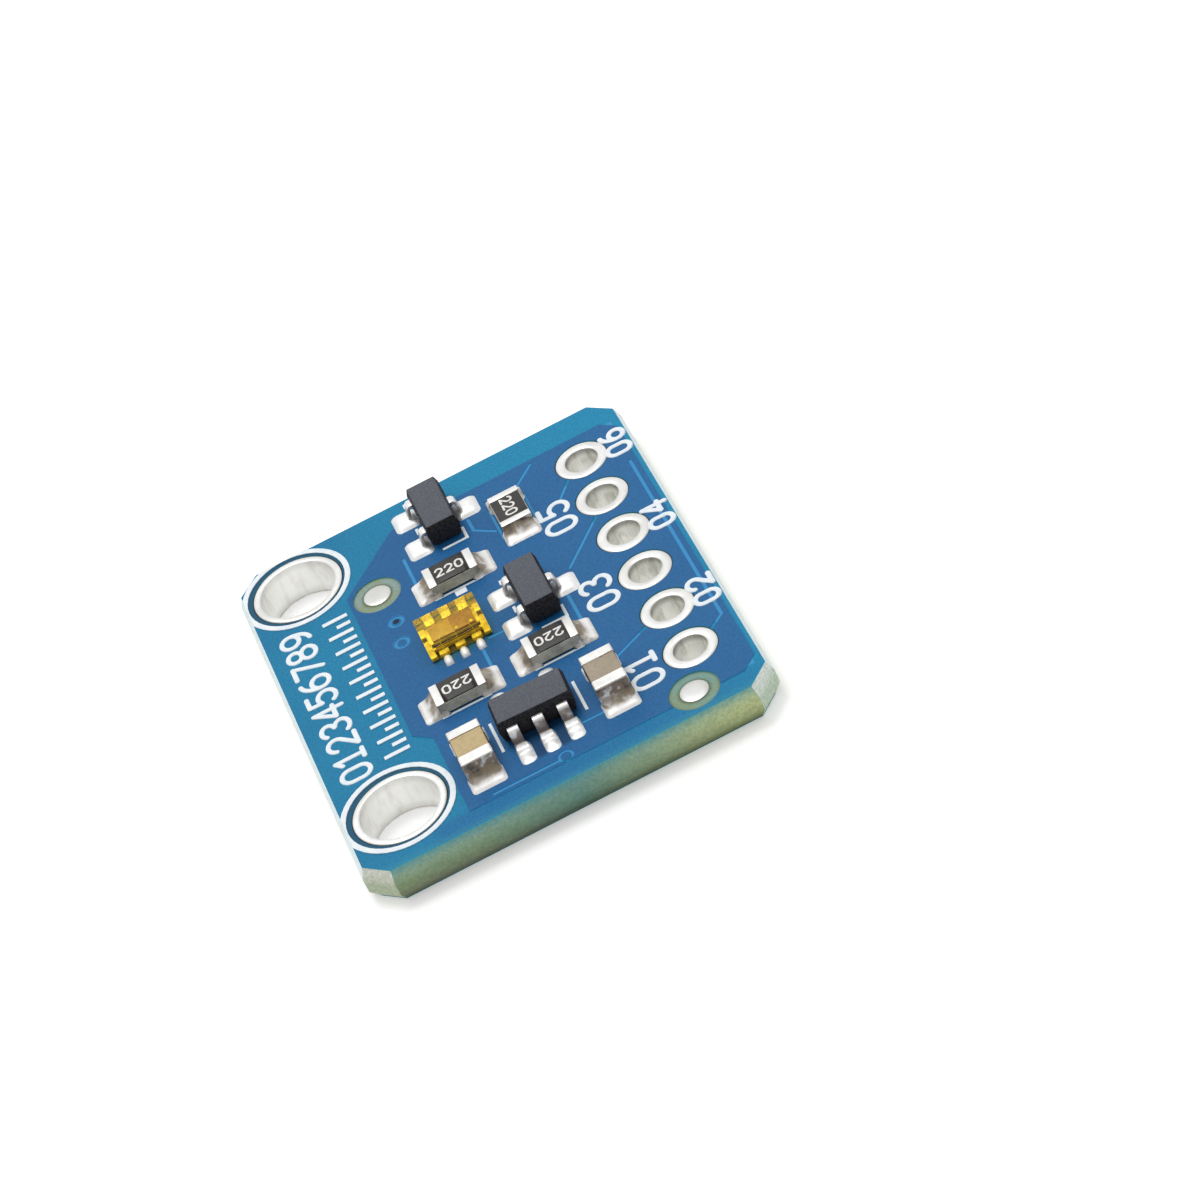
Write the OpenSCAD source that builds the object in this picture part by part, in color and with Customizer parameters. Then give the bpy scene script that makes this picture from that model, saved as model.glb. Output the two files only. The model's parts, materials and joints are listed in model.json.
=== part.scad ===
// Light sensor module: a small blue circuit board with a clear amber light sensor,
// a voltage regulator, two transistors, chip resistors and chip capacitors,
// a row of six plated header holes and two plated mounting holes.
// The origin is at the middle of the underside, with the header row along X,
// the mounting holes on the +Y side and the components on top.

/* [Board] */
// Length of the board over its scored edges
board_l = 19.25; // [18.9:0.05:23]
// Width of the board over its scored edges
board_w = 15.95; // [15.7:0.05:19]
// Thickness of the bare laminate
laminate_t = 1.5; // [1:0.05:2.4]
// Length of each cut corner along the sides
corner_cut = 0.95; // [0.5:0.05:1.3]
// How far the scored slope leans in at the top face
score_in_top = 0.175; // [0.05:0.025:0.3]
// How far the scored slope leans in at the bottom face
score_in_bottom = 0.3; // [0.05:0.025:0.3]
// Height of each scored slope
score_h = 0.45; // [0.1:0.05:0.5]
// Thickness of the solder mask over bare laminate
mask_t = 0.03; // [0.02:0.005:0.05]
// How much the copper under the mask lifts it
copper_lift = 0.02; // [0.01:0.005:0.04]
// Height of the white print above the mask
print_t = 0.035; // [0.025:0.005:0.05]
// Width of a printed line
print_w = 0.12; // [0.08:0.01:0.18]

/* [Plated holes] */
// Thickness of the pads and of the tin on them
pad_t = 0.05; // [0.05:0.01:0.09]
// Thickness of the plating inside a hole
barrel_t = 0.16; // [0.16:0.01:0.2]
// Radius of each mounting hole
mount_hole_r = 1.5; // [1:0.05:1.6]
// Width of the plated ring round a mounting hole
mount_ring_w = 0.26; // [0.2:0.02:0.4]
// Distance between the two mounting holes
mount_spacing = 14.1; // [13:0.05:14.4]
// How far the pair of mounting holes lies off the board's middle
mount_shift = 0.4; // [0:0.05:0.45]
// Distance from a mounting hole's centre to the board's long side
mount_edge = 2.225; // [2.1:0.025:2.6]
// Gap between a mounting ring and the printed ring round it
ring_gap = 0.19; // [0.15:0.01:0.25]
// Width of the printed ring
print_ring_w = 0.22; // [0.1:0.02:0.3]
// How far the printed rings lie off their holes along X
print_off_x = 0.03; // [-0.05:0.01:0.05]
// How far the printed rings lie off their holes along Y
print_off_y = 0.05; // [-0.05:0.01:0.05]
// Distance between neighbouring header holes
header_pitch = 2.54; // [2.3:0.02:2.6]
// Radius of each header hole
header_hole_r = 0.65; // [0.4:0.01:0.7]
// Width of the plated ring round a header hole
header_ring_w = 0.36; // [0.26:0.01:0.45]
// How far the header row lies off the board's middle
header_shift = 0.25; // [0:0.05:0.4]
// Distance from the header row to the board's long side
header_edge = 2.175; // [1.8:0.025:2.3]
// Clearance round a plated ring in the mask
mask_gap = 0.05; // [0.03:0.01:0.1]

/* [Alignment marks] */
// Radius of each bare copper alignment dot
mark_r = 0.53; // [0.4:0.01:0.6]
// Radius of the opening in the mask round it
mark_window_r = 0.95; // [0.75:0.01:1]

/* [Light sensor] */
// Length of the clear package
sensor_l = 2.4; // [2.3:0.05:2.6]
// Width of the clear package
sensor_w = 2; // [1.9:0.05:2.2]
// Height of the clear package
sensor_h = 0.6; // [0.55:0.05:0.9]
// Distance between neighbouring sensor terminals
sensor_pitch = 0.65; // [0.6:0.01:0.75]
// Width of each sensor terminal
sensor_lead_w = 0.36; // [0.28:0.02:0.42]
// Thickness of the sensor's lead frame
frame_t = 0.2; // [0.12:0.01:0.25]
// Thickness of the sensor chip
die_t = 0.14; // [0.08:0.01:0.2]

/* [Chip resistors] */
// Length of a resistor
resistor_l = 1.95; // [1.8:0.05:2.1]
// Width of a resistor
resistor_w = 1.2; // [1:0.05:1.3]
// Height of a resistor
resistor_h = 0.5; // [0.4:0.02:0.6]
// Width of the metal strip at each end
resistor_end = 0.31; // [0.2:0.01:0.4]
// Thickness of that metal
resistor_metal_t = 0.04; // [0.02:0.005:0.06]

/* [Chip capacitors] */
// Length of a capacitor
capacitor_l = 2.05; // [1.9:0.05:2.2]
// Width of a capacitor
capacitor_w = 1.25; // [1.1:0.05:1.35]
// Height of a capacitor
capacitor_h = 0.93; // [0.7:0.01:1.3]
// Length of the metal cap at each end
capacitor_end = 0.48; // [0.3:0.02:0.6]
// Thickness of that cap
capacitor_metal_t = 0.03; // [0.02:0.005:0.05]

/* [Transistors and regulator] */
// Length of a moulded body
body_l = 2.9; // [2.7:0.05:3]
// Width of a transistor's body
transistor_w = 1.3; // [1.1:0.05:1.35]
// Width of the regulator's body
regulator_w = 1.6; // [1.4:0.05:1.75]
// Height of a moulded body
body_h = 0.94; // [0.85:0.01:1.3]
// Gap under a moulded body
body_gap = 0.06; // [0.03:0.01:0.1]
// How far a body's sides lean in at its top and bottom
body_lean = 0.1; // [0.04:0.01:0.16]
// Distance between neighbouring leads
lead_pitch = 0.95; // [0.8:0.01:1]
// Width of a lead
lead_w = 0.42; // [0.3:0.01:0.5]
// Thickness of a lead
lead_t = 0.12; // [0.08:0.01:0.16]
// How far a lead reaches out from the side of its body
lead_reach = 0.6; // [0.55:0.01:0.7]
// Length of the flat foot at the lead's tip
lead_foot = 0.22; // [0.1:0.01:0.24]
// Inner radius of a lead's bends
lead_bend_r = 0.07; // [0.04:0.01:0.09]

/* [Solder] */
// Thickness of solder under each terminal
solder_t = 0.02; // [0.01:0.005:0.04]
// Length of the solder pads past each end of a chip part
chip_pad_out = 0.62; // [0.4:0.02:0.7]
// How far the solder climbs each end of a resistor
resistor_climb = 0.34; // [0.15:0.01:0.4]
// How far the solder climbs each end of a capacitor
capacitor_climb = 0.42; // [0.15:0.01:0.5]
// Length of a transistor's solder pads
transistor_pad_l = 1; // [0.9:0.02:1.1]
// Width of a transistor's solder pads
transistor_pad_w = 1.18; // [0.9:0.02:1.24]
// Length of the regulator's solder pads
regulator_pad_l = 1.1; // [0.9:0.02:1.2]
// Width of the regulator's solder pads
regulator_pad_w = 0.6; // [0.5:0.02:0.7]
// How far a lead's solder swells above its pad
solder_swell = 0.11; // [0.06:0.01:0.16]

/* [Hidden] */

round_fn = 48;
past = 1;

// Heights, from the lowest face up
laminate_z = max(pad_t, mask_t + copper_lift);
laminate_top = laminate_z + laminate_t;
mask_top = laminate_top + mask_t;
copper_top = mask_top + copper_lift;
board_top = laminate_top + pad_t;
seat_z = board_top + solder_t;

// Plated holes
mount_pad_r = mount_hole_r + mount_ring_w;
mount_y = board_w / 2 - mount_edge;
mounts = [for (s = [1, -1]) [mount_shift + s * mount_spacing / 2, mount_y]];
print_ring_r = mount_pad_r + ring_gap + print_ring_w;
print_rings = [for (p = mounts) p + [print_off_x, print_off_y]];
header_pad_r = header_hole_r + header_ring_w;
header_y = header_edge - board_w / 2;
headers = [for (i = [0:5]) [header_shift + (2.5 - i) * header_pitch, header_y]];

// Alignment marks, and where each part sits: x, y and its turn
dots = [[4.9, 3.2], [-8.28, header_y + 0.63]];
sensor_at = [0.7, 1.27, 0];
regulator_at = [-5.62, 0.02, 87.5];
regulator_pads_at = [-5.62, 0.02, 90];
transistors = [[7.2, -0.08, 0], [0.33, -1.92, 0]];
resistors = [[3.68, 0.4, 90], [-2.6, -1.62, 90], [-2.65, 2.06, 90], [5.4, -2.6, 0]];
capacitors = [[-6.33, 2.57, 0], [-5.97, -2.75, 0]];

// Leads of the moulded parts: place along the body, and its side
transistor_leads = [[-1, 1], [1, 1], [0, -1]];
regulator_leads = [[-1, 1], [0, 1], [1, 1], [-1, -1], [1, -1]];
body_z = seat_z + body_gap;
lead_z = body_z + 0.6 * body_h;
lead_root = 0.2;
lead_turn = 78;

// Where the solder pads begin, out from the side of a moulded body
transistor_pad_start = -0.04;
regulator_pad_start = 0.25;

// Solder pads of the chip parts: how far they reach under the part and past its sides
chip_pad_in = 0.35;
resistor_pad_side = 0.12;
capacitor_pad_side = 0.06;

// The sensor's solder pads
sensor_pad_l = 1;
sensor_pad_w = sensor_lead_w - 0.04;
sensor_pad_x = sensor_w / 2 + 0.05;

// Points on an arc of an ellipse
function arc(cx, cy, rx, ry, from, to, steps) =
    [for (i = [0:steps]) let (a = from + (to - from) * i / steps) [cx + rx * cos(a), cy + ry * sin(a)]];

function round_rect(l, w, r, steps = 4) = concat(
    arc(l / 2 - r, w / 2 - r, r, r, 0, 90, steps),
    arc(r - l / 2, w / 2 - r, r, r, 90, 180, steps),
    arc(r - l / 2, r - w / 2, r, r, 180, 270, steps),
    arc(l / 2 - r, r - w / 2, r, r, 270, 360, steps)
);

module at(place) {
    translate([place[0], place[1], 0]) rotate([0, 0, place[2]]) children();
}

// Extrudes an outline drawn in X and Z along Y, and one drawn in Y and Z along X
module along_y(length) {
    rotate([90, 0, 0]) linear_extrude(length, center = true) children();
}

module along_x(length) {
    rotate([90, 0, 90]) linear_extrude(length, center = true) children();
}

// A box with every edge rounded
module soft_box(l, w, h, r) {
    intersection() {
        linear_extrude(h) polygon(round_rect(l, w, r));
        translate([0, 0, h / 2]) along_y(w + past) polygon(round_rect(l, h, r));
        translate([0, 0, h / 2]) along_x(l + past) polygon(round_rect(w, h, r));
    }
}

module block(l, w, z0, z1) {
    translate([-l / 2, -w / 2, z0]) cube([l, w, z1 - z0]);
}

// Board

function board_outline(inset) =
    let (x = board_l / 2 - inset, y = board_w / 2 - inset, c = corner_cut - inset * (2 - sqrt(2)))
    [[x, c - y], [x, y - c], [x - c, y], [c - x, y], [-x, y - c], [-x, c - y], [c - x, -y], [x - c, -y]];

// The slope that the scoring tool leaves along one side, at the top or at the bottom
module score_slope(turn, reach, lean, face_z, down) {
    rotate([0, 0, turn]) translate([reach, 0, 0]) along_y(board_l + board_w)
        polygon([[-lean, face_z], [0, face_z + down * score_h], [past, face_z + down * score_h],
            [past, face_z - down * past], [-lean, face_z - down * past]]);
}

module scored_sides() {
    corner_reach = (board_l + board_w) / 2 - corner_cut;
    for (turn = [0:45:315]) {
        reach = turn % 180 == 0 ? board_l / 2 : turn % 90 == 0 ? board_w / 2 : corner_reach / sqrt(2);
        score_slope(turn, reach, score_in_top, laminate_top, -1);
        score_slope(turn, reach, score_in_bottom, laminate_z, 1);
    }
}

module holes_at(places, r) {
    for (p = places) translate([p[0], p[1], -past]) cylinder(h = board_top + 2 * past, r = r, $fn = round_fn);
}

module board_laminate() {
    color([0.62, 0.68, 0.5]) difference() {
        translate([0, 0, laminate_z]) linear_extrude(laminate_t) polygon(board_outline(0));
        scored_sides();
        holes_at(mounts, mount_hole_r + barrel_t);
        holes_at(headers, header_hole_r + barrel_t);
    }
}

module plated_ring(place, hole_r, pad_r) {
    translate([place[0], place[1], 0]) difference() {
        union() {
            cylinder(h = laminate_z, r = pad_r, $fn = round_fn);
            cylinder(h = board_top, r = hole_r + barrel_t, $fn = round_fn);
            translate([0, 0, laminate_top]) cylinder(h = pad_t, r = pad_r, $fn = round_fn);
        }
        translate([0, 0, -past]) cylinder(h = board_top + 2 * past, r = hole_r, $fn = round_fn);
    }
}

module mounting_ring(i) {
    color([0.86, 0.85, 0.82]) plated_ring(mounts[i], mount_hole_r, mount_pad_r);
}

module header_ring(i) {
    color([0.86, 0.85, 0.82]) plated_ring(headers[i], header_hole_r, header_pad_r);
}

module alignment_dot(i) {
    color([0.9, 0.9, 0.88]) translate([dots[i][0], dots[i][1], laminate_top])
        cylinder(h = pad_t, r = mark_r, $fn = round_fn);
}

// Plan views

module disc(place, r) {
    translate([place[0], place[1]]) circle(r = r, $fn = round_fn);
}

module ring_windows(gap) {
    for (p = mounts) disc(p, mount_pad_r + gap);
    for (p = headers) disc(p, header_pad_r + gap);
}

module chip_pads(l, w, side) {
    for (s = [-1, 1])
        translate([s * (l / 2 + (chip_pad_out - chip_pad_in) / 2), 0])
            square([chip_pad_out + chip_pad_in, w + 2 * side], center = true);
}

// Middles of the solder pads of formed leads
function pad_places(leads, from_middle) = [for (p = leads) [p[0] * lead_pitch, p[1] * from_middle]];
transistor_pad_y = transistor_w / 2 + transistor_pad_start + transistor_pad_l / 2;
regulator_pad_y = regulator_w / 2 + regulator_pad_start + regulator_pad_l / 2;

module lead_pads(places, pad_w, pad_l) {
    for (p = places) translate(p) square([pad_w, pad_l], center = true);
}

module transistor_pads() {
    lead_pads(pad_places(transistor_leads, transistor_pad_y), transistor_pad_w, transistor_pad_l);
}

module regulator_pads() {
    lead_pads(pad_places(regulator_leads, regulator_pad_y), regulator_pad_w, regulator_pad_l);
}

module sensor_pads() {
    for (s = [-1, 1], i = [-1:1])
        translate([s * sensor_pad_x, i * sensor_pitch]) square([sensor_pad_l, sensor_pad_w], center = true);
}

module place_2d(place) {
    translate([place[0], place[1]]) rotate(place[2]) children();
}

module all_pads() {
    place_2d(sensor_at) sensor_pads();
    place_2d(regulator_pads_at) regulator_pads();
    for (t = transistors) place_2d(t) transistor_pads();
    for (r = resistors) place_2d(r) chip_pads(resistor_l, resistor_w, resistor_pad_side);
    for (c = capacitors) place_2d(c) chip_pads(capacitor_l, capacitor_w, capacitor_pad_side);
}

module mask_windows() {
    ring_windows(mask_gap);
    for (p = dots) disc(p, mark_window_r);
    all_pads();
}

// A straight printed or etched line with square ends
module stroke(from, to, width) {
    run = to - from;
    translate(from) rotate(atan2(run[1], run[0])) translate([0, -width / 2]) square([norm(run), width]);
}

module path(points, width) {
    for (i = [1:len(points) - 1]) {
        stroke(points[i - 1], points[i], width);
        translate(points[i]) circle(d = width, $fn = 12);
    }
}

// Print: rings round the mounting holes, corner marks round the parts and a scale

module transistor_marks() {
    side = transistor_w / 2;
    end = body_l / 2 + 0.22;
    stroke([-end, side - 0.3], [-end, -side - print_w / 2], print_w);
    stroke([-end - print_w / 2, -side], [-body_l / 2 + 0.5, -side], print_w);
    stroke([-0.16, side + 0.24], [0.22, side + 0.24], print_w);
    stroke([end, side + 0.24], [end + 0.28, side + 0.24], print_w);
}

module regulator_marks() {
    side = body_l / 2 + 0.18;
    for (s = [-1, 1]) stroke([s * side, -0.8], [s * side, 0.95], print_w);
}

module resistor_marks() {
    side = resistor_w / 2 + 0.11;
    for (s = [-1, 1]) stroke([-resistor_l / 2, s * side], [resistor_l / 2, s * side], print_w - 0.02);
}

module sensor_mark() {
    translate([sensor_w / 2 + 0.9, -sensor_l / 2 + 0.1]) square([0.3, 0.45]);
}

// A scale of long and short lines between the mounting holes
scale_steps = 18;
scale_step = 0.475;
scale_foot = 1.25;
scale_long = 1;
scale_short = 0.55;
scale_line_w = 0.19;
module light_scale() {
    for (i = [0:scale_steps]) {
        x = mount_shift + (i - scale_steps / 2) * scale_step;
        y = mount_y - scale_foot;
        stroke([x, y], [x, y + (i % 2 == 0 ? scale_long : scale_short)], scale_line_w);
    }
}

module white_print() {
    color([0.93, 0.95, 0.95]) translate([0, 0, mask_top]) linear_extrude(print_t) difference() {
        intersection() {
            union() {
                for (p = print_rings) difference() {
                    disc(p, print_ring_r);
                    disc(p, print_ring_r - print_ring_w);
                }
                light_scale();
                for (t = transistors) place_2d(t) transistor_marks();
                place_2d(regulator_pads_at) regulator_marks();
                for (r = resistors) place_2d(r) resistor_marks();
                place_2d(sensor_at) sensor_mark();
            }
            polygon(board_outline(score_in_top));
        }
        mask_windows();
    }
}

module solder_mask_top() {
    color([0.18, 0.5, 0.68]) translate([0, 0, laminate_top]) linear_extrude(mask_t) difference() {
        polygon(board_outline(score_in_top));
        mask_windows();
    }
}

module solder_mask_bottom() {
    color([0.18, 0.5, 0.68]) translate([0, 0, laminate_z - mask_t]) linear_extrude(mask_t) difference() {
        polygon(board_outline(score_in_bottom));
        ring_windows(mask_gap);
    }
}

// The copper sheet and tracks show through the mask as a raised, deeper blue field
sheet_left = 1.05;
sheet_right = 1.55;
sheet_foot = 0.35;
sheet_head = 3.7;
sheet_corner = 0.6;
sheet_slant = 2.6;
sheet_step = 0.65;
sheet_step_x = -3.45;
function sheet_outline() =
    let (x0 = sheet_left - board_l / 2, x1 = board_l / 2 - sheet_right,
        y0 = sheet_foot - board_w / 2, y1 = board_w / 2 - sheet_head)
    [[x0, y0 + sheet_corner], [x0 + sheet_corner, y0], [x1 - sheet_corner, y0], [x1, y0 + sheet_corner],
        [x1, y1 - sheet_slant], [x1 - sheet_slant, y1], [sheet_step_x, y1],
        [sheet_step_x - sheet_step, y1 - sheet_step], [x0, y1 - sheet_step]];

// Bare lines between the sheet and the tracks that run through it
gap_w = 0.13;
gap_lines = [
    [[4.4, 1.75], [6.1, 1.75]],
    [[-8.35, 2.65], [-8.35, 0.05]],
    [[-2.2, 0.66], [-0.75, 0.66]],
    [[-0.42, 0.3], [-0.45, -0.6]],
    [[5.05, -1.8], [5.75, -1.05], [6.5, -1.05]],
    [[6.9, -3.15], [7.8, -4.05]],
    [[4.9, -4.3], [5.85, -5.0]],
    [[1.05, -3.45], [3.3, -5.4]],
    [[-4.7, -3.4], [-3.9, -4.9]],
    [[-5.75, -6.7], [-5.2, -7.35], [5.2, -7.35]],
    [[-2, -2.95], [-0.2, -2.95]],
    [[-7.08, -1.25], [-7.08, -2.1]]
];
vias = [[1.65, 3.15], [2.92, 3.0], [-8.28, -0.2]];
via_r = 0.3;
via_line_w = 0.1;

module masked_copper() {
    color([0.2, 0.4, 0.63]) translate([0, 0, mask_top]) linear_extrude(copper_lift) difference() {
        polygon(sheet_outline());
        mask_windows();
        for (line = gap_lines) path(line, gap_w);
        for (v = vias) difference() {
            disc(v, via_r);
            disc(v, via_r - via_line_w);
        }
        for (p = print_rings) disc(p, print_ring_r);
        for (t = transistors) place_2d(t) transistor_marks();
        place_2d(regulator_pads_at) regulator_marks();
        for (r = resistors) place_2d(r) resistor_marks();
        place_2d(sensor_at) sensor_mark();
    }
}

// On the underside a sheet fills the board, with two tracks from header holes to vias
under_inset = 0.4;
under_clear = 0.2;
under_track_w = 0.3;
under_vias = [vias[1], vias[0]];
under_tracks = [
    [headers[0], headers[0] + [0, 3.2], [5.2, -1.2], [5.2, 1.6], under_vias[0]],
    [headers[1], headers[1] + [0, 2.6], [1.65, -0.8], under_vias[1]]
];

module masked_copper_bottom() {
    color([0.2, 0.4, 0.63]) translate([0, 0, laminate_z - mask_t - copper_lift])
        linear_extrude(copper_lift) difference() {
            union() {
                difference() {
                    polygon(board_outline(score_in_bottom + under_inset));
                    ring_windows(under_clear);
                    for (line = under_tracks) path(line, under_track_w + 2 * gap_w);
                }
                for (line = under_tracks) path(line, under_track_w);
            }
            ring_windows(mask_gap);
            for (v = under_vias) difference() {
                disc(v, via_r);
                disc(v, via_r - via_line_w);
            }
        }
}

// Light sensor: lead frame and chip moulded into a clear package

module frame_outline() {
    for (s = [-1, 1], i = [-1:1])
        translate([s * (sensor_w / 2 - 0.21), i * sensor_pitch]) square([0.42, sensor_lead_w], center = true);
    translate([-0.02, 0]) square([sensor_w - 1.04, sensor_l - 0.4], center = true);
    for (s = [-1, 1]) translate([-0.02, s * (sensor_l / 2 - 0.15)]) square([0.3, 0.3], center = true);
}

chip_outline = [0.86, 1.7];
module sensor_chip_solid() {
    block(chip_outline[0], chip_outline[1], seat_z + frame_t, seat_z + frame_t + die_t);
}

module sensor_lead_frame() {
    color([0.9, 0.75, 0.25]) at(sensor_at) translate([0, 0, seat_z]) linear_extrude(frame_t) frame_outline();
}

module sensor_chip() {
    color([0.65, 0.42, 0.2]) at(sensor_at) sensor_chip_solid();
}

module sensor_package() {
    color([0.85, 0.62, 0.1, 0.6]) at(sensor_at) difference() {
        translate([0, 0, seat_z]) linear_extrude(sensor_h) polygon(round_rect(sensor_w, sensor_l, 0.05, 2));
        translate([0, 0, seat_z]) linear_extrude(frame_t) frame_outline();
        sensor_chip_solid();
    }
}

// Solder swells into a low dome on each pad
module dome(l, w, swell) {
    low = board_top + 0.01;
    foot = laminate_top;
    intersection() {
        along_y(w) polygon(concat([[l / 2, foot]], arc(0, low, l / 2, swell, 0, 180, 10), [[-l / 2, foot]]));
        along_x(l) polygon(concat([[w / 2, foot]], arc(0, low, w / 2, swell, 0, 180, 10), [[-w / 2, foot]]));
    }
}

module sensor_solder() {
    color([0.88, 0.88, 0.87]) at(sensor_at) difference() {
        for (s = [-1, 1], i = [-1:1])
            translate([s * sensor_pad_x, i * sensor_pitch, 0]) dome(sensor_pad_l, sensor_pad_w, solder_swell);
        block(sensor_w, sensor_l, seat_z, seat_z + sensor_h);
    }
}

// Moulded bodies with formed leads

module moulded_shape(width) {
    z1 = body_z + body_h;
    intersection() {
        along_y(width + past) polygon(lean_outline(body_l, body_z, lead_z, z1));
        along_x(body_l + past) polygon(lean_outline(width, body_z, lead_z, z1));
    }
}

function lean_outline(w, z0, zm, z1) =
    [[body_lean - w / 2, z0], [w / 2 - body_lean, z0], [w / 2, zm], [w / 2 - body_lean, z1],
        [body_lean - w / 2, z1], [-w / 2, zm]];

// Middle line of a formed lead, as points with a heading: out of the body, down and out again
lead_bend = lead_bend_r + lead_t / 2;
lead_drop = lead_z - seat_z - lead_t / 2;
lead_fall = (lead_drop - 2 * lead_bend * (1 - cos(lead_turn))) / sin(lead_turn);
lead_neck = lead_reach - lead_foot - 2 * lead_bend * sin(lead_turn) - lead_fall * cos(lead_turn);
function bend(x, z, from, to, side, steps = 6) =
    [for (i = [0:steps]) let (a = from + (to - from) * i / steps)
        [x + side * lead_bend * (sin(a) - sin(from)), z - side * lead_bend * (cos(a) - cos(from)), a]];
function lead_line() =
    let (down = bend(lead_neck, lead_z, 0, -lead_turn, -1),
        knee = down[len(down) - 1],
        ankle = [knee[0] + lead_fall * cos(lead_turn), knee[1] - lead_fall * sin(lead_turn)],
        up = bend(ankle[0], ankle[1], -lead_turn, 0, 1))
    concat([[-lead_root, lead_z, 0]], down, up, [[lead_reach, seat_z + lead_t / 2, 0]]);
function beside(line, side) = [for (p = line) [p[0] - side * sin(p[2]), p[1] + side * cos(p[2])]];
function backwards(list) = [for (i = [len(list) - 1:-1:0]) list[i]];

module formed_lead(place, body_w) {
    line = lead_line();
    mirror([0, place[1] > 0 ? 0 : 1, 0]) translate([place[0] * lead_pitch, body_w / 2, 0]) along_x(lead_w)
        polygon(concat(beside(line, lead_t / 2), backwards(beside(line, -lead_t / 2))));
}

module moulded_body(leads, width) {
    difference() {
        moulded_shape(width);
        for (p = leads)
            translate([p[0] * lead_pitch, p[1] * (width / 2 - lead_root / 2), 0])
                block(lead_w, lead_root + 0.001, lead_z - lead_t / 2, lead_z + lead_t / 2);
    }
}

module lead_solder(places, pad_w, pad_l) {
    for (p = places) translate([p[0], p[1], 0]) dome(pad_w, pad_l, solder_swell);
}

module regulator_body() {
    color([0.2, 0.2, 0.22]) at(regulator_at) moulded_body(regulator_leads, regulator_w);
}

module regulator_lead(i) {
    color([0.8, 0.8, 0.8]) at(regulator_at) formed_lead(regulator_leads[i], regulator_w);
}

module regulator_solder() {
    color([0.88, 0.88, 0.87]) difference() {
        at(regulator_pads_at)
            lead_solder(pad_places(regulator_leads, regulator_pad_y), regulator_pad_w, regulator_pad_l);
        for (p = regulator_leads) at(regulator_at) formed_lead(p, regulator_w);
    }
}

module transistor_body(i) {
    color([0.2, 0.2, 0.22]) at(transistors[i]) moulded_body(transistor_leads, transistor_w);
}

module transistor_lead(i, j) {
    color([0.8, 0.8, 0.8]) at(transistors[i]) formed_lead(transistor_leads[j], transistor_w);
}

module transistor_solder(i) {
    color([0.88, 0.88, 0.87]) at(transistors[i]) difference() {
        lead_solder(pad_places(transistor_leads, transistor_pad_y), transistor_pad_w, transistor_pad_l);
        for (p = transistor_leads) formed_lead(p, transistor_w);
    }
}

// Chip parts

// The solder under and up both ends of a chip part
module chip_solder(l, w, pad_side, climb_h) {
    pad_w = w + 2 * pad_side;
    climb = concat([[l / 2 - chip_pad_in, laminate_top], [l / 2 + chip_pad_out, laminate_top]],
        arc(l / 2 + chip_pad_out, seat_z + climb_h, chip_pad_out, climb_h, 270, 180, 8),
        [[l / 2, seat_z], [l / 2 - chip_pad_in, seat_z]]);
    side = [[-pad_w / 2, laminate_top], [pad_w / 2, laminate_top], [pad_w / 2, seat_z],
        [w / 2, seat_z + climb_h], [-w / 2, seat_z + climb_h], [-pad_w / 2, seat_z]];
    for (turn = [0, 180]) rotate([0, 0, turn]) intersection() {
        along_y(pad_w) polygon(climb);
        along_x(2 * (l + chip_pad_out)) polygon(side);
    }
}

module resistor_core_solid() {
    block(resistor_l - 2 * resistor_metal_t, resistor_w, seat_z + resistor_metal_t,
        seat_z + resistor_h - resistor_metal_t);
}

module resistor_core(i) {
    color([0.72, 0.72, 0.7]) at(resistors[i]) resistor_core_solid();
}

module resistor_coat(i) {
    coat_l = resistor_l - 2 * resistor_end;
    color([0.15, 0.14, 0.13]) at(resistors[i]) translate([0, 0, seat_z + resistor_h - resistor_metal_t])
        along_y(resistor_w - 0.06)
            polygon(concat([[-coat_l / 2, 0], [coat_l / 2, 0]],
                arc(0, resistor_metal_t / 2, coat_l / 2, resistor_metal_t, 0, 180, 8)));
}

module resistor_ends(i) {
    color([0.86, 0.86, 0.85]) at(resistors[i]) difference() {
        for (s = [-1, 1]) translate([s * (resistor_l - resistor_end) / 2, 0, 0])
            block(resistor_end, resistor_w, seat_z, seat_z + resistor_h);
        resistor_core_solid();
    }
}

module resistor_solder(i) {
    color([0.88, 0.88, 0.87]) at(resistors[i])
        chip_solder(resistor_l, resistor_w, resistor_pad_side, resistor_climb);
}

module capacitor_core_solid() {
    t = capacitor_metal_t;
    translate([0, 0, seat_z + t])
        soft_box(capacitor_l - 2 * t, capacitor_w - 2 * t, capacitor_h - 2 * t, 0.04);
}

module capacitor_body(i) {
    color([0.78, 0.68, 0.5]) at(capacitors[i]) capacitor_core_solid();
}

module capacitor_ends(i) {
    color([0.86, 0.86, 0.85]) at(capacitors[i]) difference() {
        translate([0, 0, seat_z]) soft_box(capacitor_l, capacitor_w, capacitor_h, 0.09);
        block(capacitor_l - 2 * capacitor_end, capacitor_w + past, seat_z - past,
            seat_z + capacitor_h + past);
        capacitor_core_solid();
    }
}

module capacitor_solder(i) {
    color([0.88, 0.88, 0.87]) at(capacitors[i]) difference() {
        chip_solder(capacitor_l, capacitor_w, capacitor_pad_side, capacitor_climb);
        translate([0, 0, seat_z]) soft_box(capacitor_l, capacitor_w, capacitor_h, 0.09);
    }
}

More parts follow.
